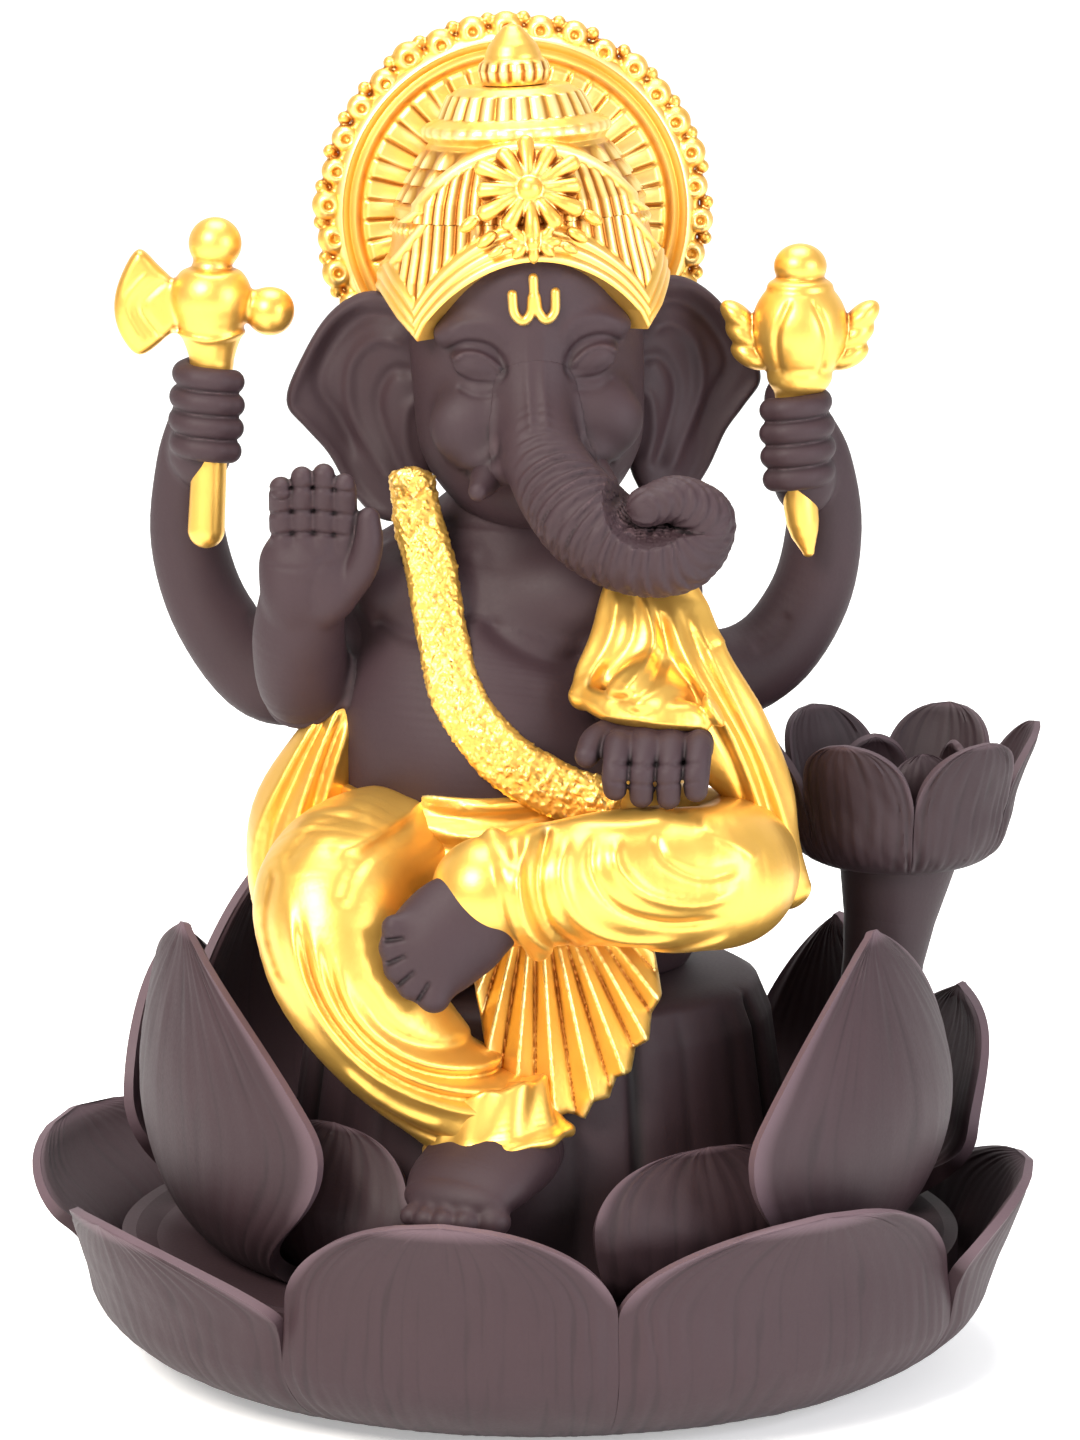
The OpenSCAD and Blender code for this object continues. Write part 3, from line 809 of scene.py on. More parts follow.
@dataclass(frozen=True)
class PurpleClay(Finish):
    """Unglazed fired clay: matt, with a painted highlight on edges and ridges and painted shade in hollows.
    """

    body: str = "#332226"
    # the next two colours are the painted shade in hollows and the painted highlight on edges and ridges
    deep: str = "#150c0e"
    painted_sheen: str = "#4a393d"
    roughness: float = 0.62

    def surface(self, tree: Tree) -> Node:
        """Adds the finish's nodes and returns the shader."""
        fine = self.grain(tree, 0.5)
        # uneven burnishing: the colour drifts a little over centimetres, as hand-rubbed clay does
        drift = self.grain(tree, 14.0, 2.0)
        colour = self.mix(tree, drift, linear(self.body), linear("#2c1d21"))
        # painted shade: hollows are darkened
        colour = self.mix(tree, self.tone(tree, "hollow", 0.25, 1.0), colour, linear(self.deep))
        # painted highlight: edges and ridges are lightened
        colour = self.mix(tree, self.tone(tree, "painted_highlight", 0.35, 1.0), colour, linear(self.painted_sheen))
        rough = self.around(tree, fine, self.roughness - 0.07, self.roughness + 0.07)
        # the sandy skin of pressed clay, too fine to see as lumps but enough to break the sheen
        bump = add_node(tree, "Bump", {"Strength": 0.35, "Distance": 0.06 * MM, "Height": fine})
        inputs = {
            "Base Color": colour,
            "Roughness": rough,
            "IOR": 1.5,
            "Specular IOR Level": 0.3,
            "Normal": bump.outputs[0],
        }
        return add_node(tree, "BsdfPrincipled", inputs)


@dataclass(frozen=True)
class GoldLustre(Finish):
    """Gold paint burnished by hand: metallic, satin, with painted shade in its hollows and a painted
    highlight on its ridges.
    """

    leaf: str = "#dfaa4c"
    # the next two colours are the painted shade in hollows and the painted highlight on ridges
    deep: str = "#9c5c1c"
    highlight_colour: str = "#fde29a"
    roughness: float = 0.35
    grit: float = 0.0

    def surface(self, tree: Tree) -> Node:
        """Adds the finish's nodes and returns the shader."""
        drift = self.grain(tree, 9.0, 3.0)
        fine = self.grain(tree, 0.7)
        colour = self.mix(tree, drift, linear(self.leaf), linear("#ecbd60"))
        # painted shade: hollows are coloured orange-brown
        colour = self.mix(tree, self.tone(tree, "hollow", 0.12, 0.85), colour, linear(self.deep))
        # painted highlight: ridges are coloured pale gold
        colour = self.mix(tree, self.tone(tree, "painted_highlight", 0.3, 0.95), colour, linear(self.highlight_colour))
        rough = self.around(tree, drift, self.roughness - 0.05, self.roughness + 0.09)
        height = 0.05 + self.grit
        bump = add_node(tree, "Bump", {"Strength": 0.5, "Distance": height * MM, "Height": fine})
        # the lustre is paint, so it is a little less than full metal
        inputs = {"Base Color": colour, "Metallic": 0.82, "Roughness": rough, "Normal": bump.outputs[0]}
        return add_node(tree, "BsdfPrincipled", inputs)


@dataclass(frozen=True)
class StudioPaper(Finish):
    """White background paper, curved up behind the piece and lit through."""

    def surface(self, tree: Tree) -> Node:
        """Adds the finish's nodes and returns the shader."""
        fibre = self.grain(tree, 3.0)
        colour = self.mix(tree, fibre, linear("#fbfbfb"), linear("#f5f5f4"))
        # the paper is lit from behind as well, so it stays white up to the top
        glow = {"Emission Color": linear("#ffffff"), "Emission Strength": 0.36}
        inputs = {"Base Color": colour, "Roughness": 0.9, "Specular IOR Level": 0.1, **glow}
        return add_node(tree, "BsdfPrincipled", inputs)


class Slot(Enum):
    """The record's material slots, each with its finish."""

    BASE = ("base_clay", PurpleClay("fired purple clay, wiped base"))
    # the petal, bowl and figure clays each get their own painted highlight colour for edges and ridges
    PETAL = ("petal_clay", PurpleClay("fired purple clay, pressed petals", painted_sheen="#554349"))
    BOWL = ("bowl_clay", PurpleClay("fired purple clay, incense bowl", body="#281a1e", painted_sheen="#44353a"))
    FIGURE = ("figure_clay", PurpleClay("fired purple clay, carved figure", painted_sheen="#473538"))
    GILDING = ("gilding", GoldLustre("gold lustre, burnished"))
    GRANULAR = ("granular_gilding", GoldLustre("gold lustre over raised grit", roughness=0.36, grit=0.2))


def piece(name: str, skin: Skin, nodes: Sequence[str], slot: Slot) -> bpy.types.Object:
    """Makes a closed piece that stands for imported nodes.

    Args:
        name: what a maker would call the piece.
        skin: its mesh in millimetres.
        nodes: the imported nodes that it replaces.
        slot: the slot that its finish comes from.

    Returns:
        The piece, dressed and riding on the part's only body.
    """
    title = "finished_" + name.replace(" ", "_")
    mesh = bpy.data.meshes.new(title)
    mesh.from_pydata((skin.points * MM).tolist(), [], skin.quads.tolist())
    # the painted highlight and painted shade masks are stored on the mesh for the finish to read
    for tone, values in (("painted_highlight", skin.painted_highlight), ("hollow", skin.hollow)):
        mesh.attributes.new(tone, "FLOAT", "POINT").data.foreach_set("value", values.astype(np.float32))
    mesh.polygons.foreach_set("use_smooth", np.ones(len(mesh.polygons), bool))
    mesh.update()
    if skin.crisp:
        mesh.set_sharp_from_angle(angle=math.radians(CRISP_PLATE))
    made = bpy.data.objects.new(title, mesh)
    bpy.context.collection.objects.link(made)
    made.data.materials.append(slot.value[1].material())
    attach(made, ROOT_BODY)
    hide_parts(*nodes)
    LOG.info("%s: %d faces for %s", name, len(skin.quads), ", ".join(nodes))
    return made


def redress(node: str, slot: Slot) -> None:
    """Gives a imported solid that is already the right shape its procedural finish."""
    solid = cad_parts[node]
    solid.data.materials.clear()
    solid.data.materials.append(slot.value[1].material())
    solid.data.polygons.foreach_set("use_smooth", np.ones(len(solid.data.polygons), bool))
    solid.data.set_sharp_from_angle(angle=math.radians(CRISP_SOLID))
    LOG.info("%s: packed solid, dressed", node)


# ---------------- studio


@dataclass
class Studio:
    """A white paper sweep, three soft lights and the camera."""

    target: Point = (0.0, 0.0, 91.5)
    elevation: float = 10.0
    distance: float = 900.0
    lens: float = 105.75
    sensor: float = 24.0

    def sweep(self) -> None:
        """Lays the paper: flat under the piece, then curved up behind it."""
        half, run, rise, curve = 5200.0, 2600.0, 2400.0, 900.0
        bend = [(y, 0.0) for y in np.linspace(-half, run - curve, 8)]
        for a in np.linspace(0.1, math.pi / 2, 12):
            bend.append((run - curve + curve * math.sin(a), curve - curve * math.cos(a)))
        bend += [(run, z) for z in np.linspace(curve + 100, rise, 5)]
        points = [(x * MM, y * MM, z * MM) for x in (-half, half) for y, z in bend]
        n = len(bend)
        mesh = bpy.data.meshes.new("paper sweep")
        mesh.from_pydata(points, [], [(i, i + n, i + n + 1, i + 1) for i in range(n - 1)])
        mesh.polygons.foreach_set("use_smooth", np.ones(n - 1, bool))
        made = bpy.data.objects.new("paper sweep", mesh)
        bpy.context.collection.objects.link(made)
        made.data.materials.append(StudioPaper("white background paper").material())

    def light(self, name: str, place: Point, size: float, watts: float, colour: str) -> None:
        """Hangs one square softbox that faces the piece."""
        lamp = bpy.data.lights.new(name, "AREA")
        lamp.shape, lamp.size, lamp.energy = "SQUARE", size * MM, watts
        lamp.color = linear(colour)[:3]
        made = bpy.data.objects.new(name, lamp)
        made.location = Vector(place) * MM
        aim = Vector(self.target) * MM - made.location
        made.rotation_euler = aim.to_track_quat("-Z", "Y").to_euler()
        bpy.context.collection.objects.link(made)

    def camera(self) -> None:
        """Sets up the camera a little above the piece's middle."""
        data = bpy.data.cameras.new("camera")
        data.sensor_fit, data.sensor_height, data.lens = "VERTICAL", self.sensor, self.lens
        data.clip_end = 20.0
        made = bpy.data.objects.new("camera", data)
        a = math.radians(self.elevation)
        back = Vector((0.0, -math.cos(a), math.sin(a))) * self.distance
        made.location = (Vector(self.target) + back) * MM
        made.rotation_euler = (-back).to_track_quat("-Z", "Y").to_euler()
        bpy.context.collection.objects.link(made)
        bpy.context.scene.camera = made

    def build(self) -> None:
        """Builds the studio round the piece."""
        self.sweep()
        self.camera()
        self.light("key softbox", (-420, -620, 620), 380, 12.5, "#fffaf2")
        self.light("fill softbox", (620, -520, 300), 420, 5.5, "#f6f8ff")
        self.light("top softbox", (0, 60, 900), 520, 9.0, "#ffffff")
        world = bpy.data.worlds.new("white room")
        world.use_nodes = True
        tree = world.node_tree
        tree.nodes.clear()
        glow = add_node(tree, "Background", {"Color": linear("#ffffff"), "Strength": 0.55})
        add_node(tree, "OutputWorld", {"Surface": glow.outputs[0]})
        bpy.context.scene.world = world
        bpy.context.scene.view_settings.view_transform = "Standard"


# ---------------- lotus base


def bezier(p: Array, t: Array) -> Array:
    """Returns points of a cubic curve with the control points p."""
    t = t[:, None]
    return (1 - t) ** 3 * p[0] + 3 * t * (1 - t) ** 2 * p[1] + 3 * t * t * (1 - t) * p[2] + t**3 * p[3]


@dataclass(frozen=True)
class Petal:
    """One pressed petal round an upright axis.

    `low` and `high` are the two curves of its outer profile as radius and height, joined at the
    bulge. It starts to close at `full`, its edges are pulled in by `cup`, and its tip is more
    pointed the higher `point` is. `curl` rolls its lip outward, and `root` is its width at the
    foot as a share of its full width.
    """

    azimuth: float
    half: float
    low: Sequence[Point]
    high: Sequence[Point]
    full: float
    thick: float
    cup: float
    veins: float = 10.0
    vein_depth: float = 0.3
    point: float = 0.5
    curl: float = 0.6
    centre: tuple[float, float] = (0.0, 0.0)
    foot: float = 0.0
    root: float = 1.0
    across: int = 64
    up: int = 72

    def profile(self, v: Array) -> Array:
        """Returns the outer profile at heights v from 0 to 1."""
        low, high = np.array(self.low, float), np.array(self.high, float)
        below = bezier(low, np.clip(2 * v, 0, 1))
        above = bezier(high, np.clip(2 * v - 1, 0, 1))
        return np.where((v < 0.5)[:, None], below, above)

    def skin(self) -> Skin:
        """Returns the petal's closed mesh."""
        rough = 1
        up, across = self.up // rough, self.across // rough
        v = np.linspace(0, 1, up) ** 0.9
        u = np.sin(np.linspace(-1, 1, across) * math.pi / 2 * 0.93) / math.sin(math.pi / 2 * 0.93)
        out = self.profile(v)
        ahead = unit(self.profile(np.minimum(v + 0.01, 1)) - self.profile(np.maximum(v - 0.01, 0)))
        inward = np.stack([-ahead[:, 1], ahead[:, 0]], 1)
        close = np.clip((v - self.full) / (1 - self.full), 0, 1)
        waist = self.root + (1 - self.root) * ease(0.1, 0.6, v)
        wide = self.half * waist * np.maximum((1 - close**2) ** self.point, 0.02)
        uu, vv = u[None, :], v[:, None]
        seed = self.azimuth * 0.13
        # veins fan out of the foot and gather again at the tip; no two are quite alike
        lane = uu * self.veins + 0.4 * wobble(uu * 5 + 2 * vv, seed)
        rise = (ripple(lane, 1.2) - 0.5) * (0.7 + 0.3 * wobble(uu * 7, seed + 1))
        rim = ease(0.84, 1.0, np.abs(uu)) * ease(self.full - 0.06, self.full + 0.12, vv)
        lip = np.maximum(ease(0.93, 1.0, vv), rim * 0.8)
        calm = ease(0.03, 0.25, vv) * (1 - 0.85 * lip)
        vein = self.vein_depth * rise * calm
        keel = 0.5 * np.exp(-((uu / 0.05) ** 2)) * calm * self.vein_depth
        swell = 0.12 * wobble(uu * 2 + vv * 4, seed + 2)
        flank = ease(0.25, 0.5, vv) * ease(self.full + 0.05, self.full - 0.1, vv)
        dent = 0.5 * ease(0.86, 1.0, np.abs(uu)) * flank
        lift = vein + keel + swell * calm + self.curl * lip * 0.35 - dent
        thick = self.thick * (1 - 0.4 * v)[:, None] * (1 - 0.45 * lip)
        faces = []
        for depth, relief in ((0.0, lift), (1.0, -0.8 * vein)):
            at = out[:, None, :] + (depth * thick - relief)[..., None] * inward[:, None, :]
            pull = self.cup * np.maximum(0, 2 * vv - 1)
            radius = at[..., 0] - pull * (uu * wide[:, None] / self.half) ** 2
            angle = np.radians(self.azimuth + wide[:, None] * uu)
            x = self.centre[0] + radius * np.sin(angle)
            y = self.centre[1] - radius * np.cos(angle)
            faces.append(np.stack([x, y, np.maximum(at[..., 1], self.foot)], -1))
        # painted highlight on the lip and along the vein ridges
        painted_highlight = np.clip(lip * 1.1 + 0.35 * ease(0.2, 0.5, rise * calm), 0, 1) + 0 * uu
        # painted shade in the vein grooves, and darker towards the foot of the petal
        low_place = 1 - ease(0.0, 0.35, vv) + 0 * uu
        hollow = np.clip(0.55 * ease(0.0, -0.5, rise) * calm + 0.5 * low_place, 0, 1)
        return plate(faces[0], faces[1], painted_highlight, hollow)


@dataclass
class LotusBase:
    """The dish, its seven outer petals, the nine dish petals and the pod that carries the figure."""

    foot_radius: float = 45.0
    bulge_radius: float = 64.5
    bulge_height: float = 11.0
    floor: float = 17.0
    joint: float = 0.1
    dish_thick: float = 2.6
    # azimuth of the left side, tip radius and tip height of each outer petal
    outer: Sequence[Point] = (
        (-33, 66, 35), (9.5, 66, 33.5), (63, 71, 28.5), (116, 70, 30), (168, 70, 30), (219, 77, 28.5),
        (271, 70, 27.5),
    )
    # azimuth, half width, root radius, full radius, tip radius and tip height
    tall: Sequence[Point] = (
        (-70, 43, 46, 56, 53, 66), (63, 38, 46, 58, 52, 66), (-128, 19.8, 46, 56, 52, 65),
        (122, 25.8, 46, 56, 52, 58), (180, 31.8, 46, 56, 50, 68), (-118, 21, 51.6, 60, 60, 56),
        (112, 21, 51.6, 62, 67, 48),
    )
    inner: Sequence[tuple[str, Point]] = (
        ("inner_petal_left", (-44, 21, 40, 46, 41, 40)),
        ("inner_petal_right", (33, 24, 41, 47, 42.5, 38)),
    )

    def outer_petal(self, i: int) -> Petal:
        """Returns the outer petal between its left side and the next one's."""
        azimuth, radius, height = self.outer[i]
        after = self.outer[i + 1][0] if i + 1 < len(self.outer) else self.outer[0][0] + 360
        r, z = self.bulge_radius, self.bulge_height
        reach = radius - 0.4
        return Petal(
            azimuth=(azimuth + after) / 2,
            half=(after - azimuth) / 2 - 0.02,
            low=((self.foot_radius, 0), (self.foot_radius + 10, 1.2), (r - 2, z - 5.5), (r, z)),
            high=((r, z), (r + 1.8, z + 6.5), (reach - 2.5, height - 9.8), (reach, height - 1.0)),
            full=0.74,
            thick=3.0,
            cup=2.4,
            veins=10.0,
            vein_depth=0.2,
            point=0.56,
            across=96,
        )

    def dish_petal(self, row: Point, point: float, veins: float, close: float, waist: float) -> Petal:
        """Returns a petal that stands in the dish.

        Args:
            row: its azimuth, half width, root radius, full radius, tip radius and tip height.
            point: how pointed its tip is.
            veins: how many veins there are on each half.
            close: the share of its height at which it starts to close.
            waist: its width at the root as a share of its full width.
        """
        azimuth, half, root, full, tip, top = row
        swell, rise, floor = full + 1, top - self.floor, self.floor
        low = ((root, floor + self.joint), (root + 5, floor + 2), (swell - 1, floor + 0.2 * rise))
        high = ((swell + 1, floor + 0.62 * rise), (tip + 2, floor + 0.85 * rise), (tip, top))
        middle = (swell, floor + 0.42 * rise)
        return Petal(
            azimuth=azimuth,
            half=half,
            low=(*low, middle),
            high=(middle, *high),
            full=close,
            thick=self.dish_thick,
            cup=0.07 * rise,
            veins=veins,
            vein_depth=0.24,
            point=point,
            foot=self.floor,
            root=waist,
        )

    def pod(self) -> Skin:
        """Returns the seat pod: a shell with the shallow ribs of closed inner petals."""
        low, high = corners("seat_pod")
        radius = (high[0] - low[0]) / 2
        foot, top = low[2], high[2]
        wall, vent = 3.2, 4.0
        steps, around = ((60, 320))
        t = np.linspace(0, 1, steps)
        a = np.linspace(0, 2 * math.pi, around, endpoint=False)
        reach = radius - np.interp(t, [0, 0.3, 0.85, 0.97, 1], [0, 0.5, 3.5, 5.5, 8])
        rib = ripple(a[None, :] * 24 / (2 * math.pi) + 0.2 * wobble(a[None, :] * 6, 1), 0.6)
        seam = np.exp(-(((a[None, :] * 8 / (2 * math.pi)) % 1 - 0.5) ** 2) / 0.0012)
        calm = ease(0, 0.1, t)[:, None] * ease(0, 0.12, 1 - t)[:, None]
        outer_r = reach[:, None] - calm * (0.35 * (1 - rib) + 0.7 * seam)
        inner_r = reach[:, None] - wall - 2.4 * t[:, None] + 0 * a[None, :]
        z = (foot + t * (top - foot))[:, None] + 0 * a[None, :]
        outer = np.stack([outer_r * np.sin(a), -outer_r * np.cos(a), z], -1)
        inner = np.stack([inner_r * np.sin(a), -inner_r * np.cos(a), np.minimum(z, top - wall)], -1)
        hole = [vent * np.sin(a), -vent * np.cos(a)]
        outer = np.concatenate([outer, np.stack([*hole, np.full(around, top)], -1)[None]])
        inner = np.concatenate([inner, np.stack([*hole, np.full(around, top - wall)], -1)[None]])
        # painted shade in the rib grooves and seams, and no painted highlight
        hollow = np.vstack([0.5 * calm * (1 - rib) + calm * seam, np.zeros((1, around))])
        return hoop(outer, inner, 0 * hollow, np.clip(hollow, 0, 1))

    def build(self) -> None:
        """Builds and dresses the base's pieces."""
        redress("base_dish", Slot.BASE)
        ring = [(f"outer_petal_{i + 1}", self.outer_petal(i)) for i in range(len(self.outer))]
        for i, row in enumerate(self.tall):
            ring.append((f"tall_petal_{i + 1}", self.dish_petal(row, 0.95, 9.0, 0.32, 0.5)))
        for node, row in self.inner:
            ring.append((node, self.dish_petal(row, 0.5, 6.0, 0.6, 0.9)))
        for node, petal in ring:
            piece(node.replace("_", " "), petal.skin(), [node], Slot.PETAL)
        piece("seat pod", self.pod(), ["seat_pod"], Slot.BASE)


@dataclass
class IncenseBowl:
    """The raised lotus that holds the cone: stalk, cup, six open petals and a bud of four."""

    lift: float = 70.5
    cup_radius: float = 13.0
    tip_radius: float = 20.5
    petals: int = 6
    start: float = -25.0

    def centre(self) -> tuple[float, float]:
        """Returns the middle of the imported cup."""
        low, high = corners("cone_bowl")
        return (low[0] + high[0]) / 2, (low[1] + high[1]) / 2

    def petal(self, i: int) -> Petal:
        """Returns one of the open petals."""
        r, z, tip = self.cup_radius, self.lift, self.tip_radius
        return Petal(
            azimuth=self.start + 360 / self.petals * i,
            half=180 / self.petals - 0.15,
            low=((10.4, z + 0.1), (r + 0.8, z + 0.8), (r + 2.8, z + 3.6), (r + 3.4, z + 8)),
            high=((r + 3.4, z + 8), (r + 4, z + 12), (tip - 0.7, z + 16.5), (tip - 0.3, z + 20)),
            full=0.55,
            thick=1.8,
            cup=1.6,
            veins=5.0,
            vein_depth=0.3,
            point=0.55,
            curl=0.5,
            centre=self.centre(),
            across=44,
            up=48,
        )

    def bud(self) -> Skin:
        """Returns the four closed petals that guard the cone."""
        r, z = self.cup_radius, self.lift
        low = ((r - 3.4, z + 6.1), (r - 3, z + 8.2), (r - 2.5, z + 10), (r - 2.3, z + 12))
        high = ((r - 2.3, z + 12), (r - 2.2, z + 14.4), (r - 3.2, z + 16), (r - 4.2, z + 17))
        made = []
        for i in range(4):
            petal = Petal(
                azimuth=20 + 90 * i,
                half=34,
                low=low,
                high=high,
                full=0.3,
                thick=1.6,
                cup=1.0,
                veins=4.0,
                vein_depth=0.2,
                point=0.6,
                curl=0.3,
                centre=self.centre(),
                across=36,
                up=36,
            )
            made.append(petal.skin())
        return join(made)

    def build(self) -> None:
        """Builds and dresses the bowl's pieces."""
        redress("bowl_stalk", Slot.BOWL)
        redress("cone_bowl", Slot.BOWL)
        for i in range(self.petals):
            piece(f"bowl petal {i + 1}", self.petal(i).skin(), [f"bowl_petal_{i + 1}"], Slot.BOWL)
        piece("bowl bud petals", self.bud(), ["bowl_bud_petals"], Slot.BOWL)


# ---------------- figure

# The figure is drawn about the middle of its seat, and its head about the head's middle.
FIGURE = Place((-3.0, 0.0, float(corners("seat_pod")[1][2])))
HEAD = Place((1.2, -2.0, 84.0), turn=5.0, lean=-2.5)


def sculpt(name: str, form: Form, slot: Slot, step: float, node: str = "") -> None:
    """Meshes a form drawn in the figure's frame and sets it down as a finished piece.

    Args:
        name: what a maker would call the piece.
        form: its shape.
        slot: the slot that its finish comes from.
        step: size of the mesh's quads, in millimetres.
        node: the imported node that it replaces, if that has another name.
    """
    skin = skin_of(form, step * (1.0))
    skin.points = skin.points + np.array(FIGURE.origin)
    piece(name, skin, [node or name.replace(" ", "_")], slot)


def set_down(name: str, skin: Skin, place: Place, nodes: Sequence[str], slot: Slot) -> None:
    """Sets a mesh drawn in the frame of a place on the figure down as a finished piece."""
    skin.points = FIGURE.outside(place.outside(skin.points))
    piece(name, skin, nodes, slot)


def grown(stations: Sequence[Point], by: float) -> list[Point]:
    """Returns a limb's stations with both radii grown by a length."""
    return [(*s[:3], s[3] + by, s[4] + by) for s in stations]


def mirrored(points: Sequence[Point], side: int) -> list[Point]:
    """Returns points with x multiplied by side."""
    return [(side * p[0], *p[1:]) for p in points]


@dataclass
class Head:
    """The elephant head: skull, trunk, tusks and ears."""

    skull: Sequence[Point] = (
        (0, -3, -20, 5, 5), (0, -3, -16, 11, 10), (0, -2.5, -9, 15.3, 14), (0, -2, 0, 16.2, 15.2),
        (0, -1.5, 8, 16.4, 16), (0, -1, 16, 16.6, 16.6), (0, -1, 22, 13, 13), (0, -1, 26, 6, 6),
    )
    trunk: Sequence[Point] = (
        (2.0, -15.6, 92, 2.2, 2.0), (2.3, -18.4, 84.5, 3.8, 3.0), (3.6, -22.4, 76, 5.6, 4.6),
        (8.4, -25.6, 68.8, 6.5, 6.0), (15.4, -26.4, 64.6, 6.7, 6.5), (22.0, -26.0, 64.2, 6.2, 6.2),
        (25.3, -26.4, 68.0, 4.4, 4.6), (21.6, -28.2, 71.0, 3.3, 3.4), (17.4, -29.4, 70.2, 2.7, 2.7),
    )
    ear: Sequence[Point] = (
        (0, 9), (4, 13), (9, 13.4), (14, 10.4), (18, 4.5), (20.6, -1.5), (18.2, -5), (15, -9),
        (12.0, -14.6), (8, -18.6), (3, -18), (0, -10),
    )
    tusk: Sequence[Point] = (
        (5.6, -12, -8, 2.6, 2.6), (7.8, -17.4, -11.2, 2.1, 2.1), (9.0, -20.2, -12.2, 1.4, 1.4),
    )
    eye: Point = (7.7, -16.0, 4.4)
    wrinkle: float = 1.6

    def creases(self, run: Array, angle: Array, p: Array) -> Array:
        """Returns the trunk's rings: arched on the bridge, and shallower round the curl."""
        arch = run - 1.3 * angle**2
        bridge = ease(8, 15, run) * (1 - 0.45 * ease(30, 44, run))
        phase = arch / self.wrinkle + 0.16 * wobble(run * 0.9 + angle, 1.0)
        tip = ease(0, 5, 64 - run)
        # the rings stay on the front of the bridge and reach right round lower down
        wide = 0.75 - 1.3 * ease(14, 34, run)
        front = ease(0, 0.5, np.cos(angle) - wide)
        return 0.5 * (ripple(phase, 1.1) - 0.5) * bridge * tip * front

    def trunk_form(self) -> Form:
        """Returns the trunk, with two raised lines down its bridge."""
        limb = Limb(self.trunk, per=8, relief=self.creases)
        bridge = [Stroke([(x, 94), (x + 0.1, 87), (x + 0.6, 79)], 0.6, 0.3, near=-14) for x in (1.2, 3.4)]
        return Chased(limb, bridge)

    def eye_forms(self, side: int) -> list[Form]:
        """Returns the brow, the cheek and the root of the tusk on one side."""
        x, y, z = self.eye
        return [
            Egg((side * 8.0, y + 2.6, z + 5.2), (5.6, 2.6, 2.2), (0, side * 8, 0)),
            Egg((side * 9.2, y + 2.8, z - 8.4), (5.6, 4.2, 5.4)),
            Egg((side * 6.6, -15.0, -9.8), (3.2, 3.8, 2.8)),
        ]

    def strokes(self, side: int) -> list[Stroke]:
        """Returns the drawing of one eye and the folds of the cheek."""
        x, _, z = self.eye
        upper = [(x + 4.1, z + 0.7), (x + 2.0, z + 2.1), (x - 0.8, z + 1.5), (x - 3.6, z - 1.3)]
        lower = [(x + 4.0, z + 0.4), (x + 1.8, z - 1.4), (x - 1.0, z - 1.8), (x - 3.6, z - 1.5)]
        fold = [(x + 4.8, z + 1.9), (x + 2.0, z + 3.5), (x - 1.4, z + 2.9), (x - 3.9, z + 0.2)]
        brow = [(x + 5.2, z + 4.2), (x + 1.6, z + 6.2), (x - 2.4, z + 5.4), (x - 4.2, z + 2.4)]
        bag = [(x + 3.4, z - 2.6), (x + 0.6, z - 4.0), (x - 3.0, z - 3.6)]
        cheek = [(x + 3.4, z - 15.4), (x - 0.6, z - 13.0), (x - 3.6, z - 9.4)]
        made = [
            Stroke(mirrored(upper, side), 0.5, 0.62, near=-8),
            Stroke(mirrored(lower, side), 0.45, 0.26, near=-8),
            Stroke(mirrored(fold, side), 0.45, -0.32, near=-8),
            Stroke(mirrored(brow, side), 0.9, 0.26, near=-8),
            Stroke(mirrored(bag, side), 0.5, -0.22, near=-8),
            Stroke(mirrored(cheek, side), 0.8, -0.5, near=-6),
        ]
        return made

    def skull_form(self) -> Form:
        """Returns the skull with its face, in the figure's frame."""
        face = [
            Limb(self.skull, per=14, flat=True),
            Egg((0, -13.2, 15), (6.5, 4.4, 8)),
            Egg((0, -14.0, 5), (3.0, 3.0, 9)),
        ]
        for side in (-1, 1):
            face += self.eye_forms(side)
        x, y, z = self.eye
        sockets = [
            Egg((side * x, y - 1.0, z + 0.2), (4.4, 1.5, 2.5), (0, side * -18, 0)) for side in (-1, 1)
        ]
        hollowed = Cut(Fused(face, 3.0), sockets, soft=1.4)
        balls = [Egg((side * x, y + 1.5, z + 0.1), (3.9, 2.2, 2.0), (0, side * -18, 0)) for side in (-1, 1)]
        lines = [s for side in (-1, 1) for s in self.strokes(side)]
        return Posed(Chased(Fused([hollowed, *balls], 0.5), lines), HEAD)

    def whole(self) -> Form:
        """Returns skull and trunk modelled into one."""
        return Fused([self.skull_form(), self.trunk_form()], 3.6)

    def ear_form(self, side: int) -> Form:
        """Returns one ear: a thin leaf with a rolled rim and three soft folds."""
        ring = through([*self.ear, self.ear[0]], 5)[:-1]
        outline = mirrored(ring.tolist(), side)

        def bow(p: Array) -> Array:
            out = np.abs(p[:, 0])
            return 0.010 * (out - 7) ** 2 - 1.1 * np.sin(out * 0.36 + 0.5)

        leaf = Slab(outline, 0.0, 3.0, bow, soft=1.6)
        rim = ring * 0.93 + np.array([0.6, -0.1])
        marks = [
            (rim[8:50:2].tolist(), 0.9, 0.75),
            (((2, 9.5), (8, 10.2), (13, 7), (16, 1), (13.5, -4), (10, -11)), 1.1, -0.8),
            (((2, 6), (7, 7), (11, 3.5), (11.4, -3), (8, -10), (5, -15)), 1.0, 0.7),
            (((1, 2), (5, 2.5), (7.4, -2), (5.4, -9), (3.4, -14)), 1.0, -0.7),
            (((0, -1), (3.0, -3), (3.4, -8), (1.6, -13)), 0.9, 0.5),
        ]
        strokes = []
        for line, width, height in marks:
            strokes.append(Stroke(mirrored(line, side), width, height, near=6, fade=0.12))
        place = Place((side * 13.5, 1.0, 0.0), turn=side * 14.0)
        return Posed(Posed(Chased(leaf, strokes), place), HEAD)

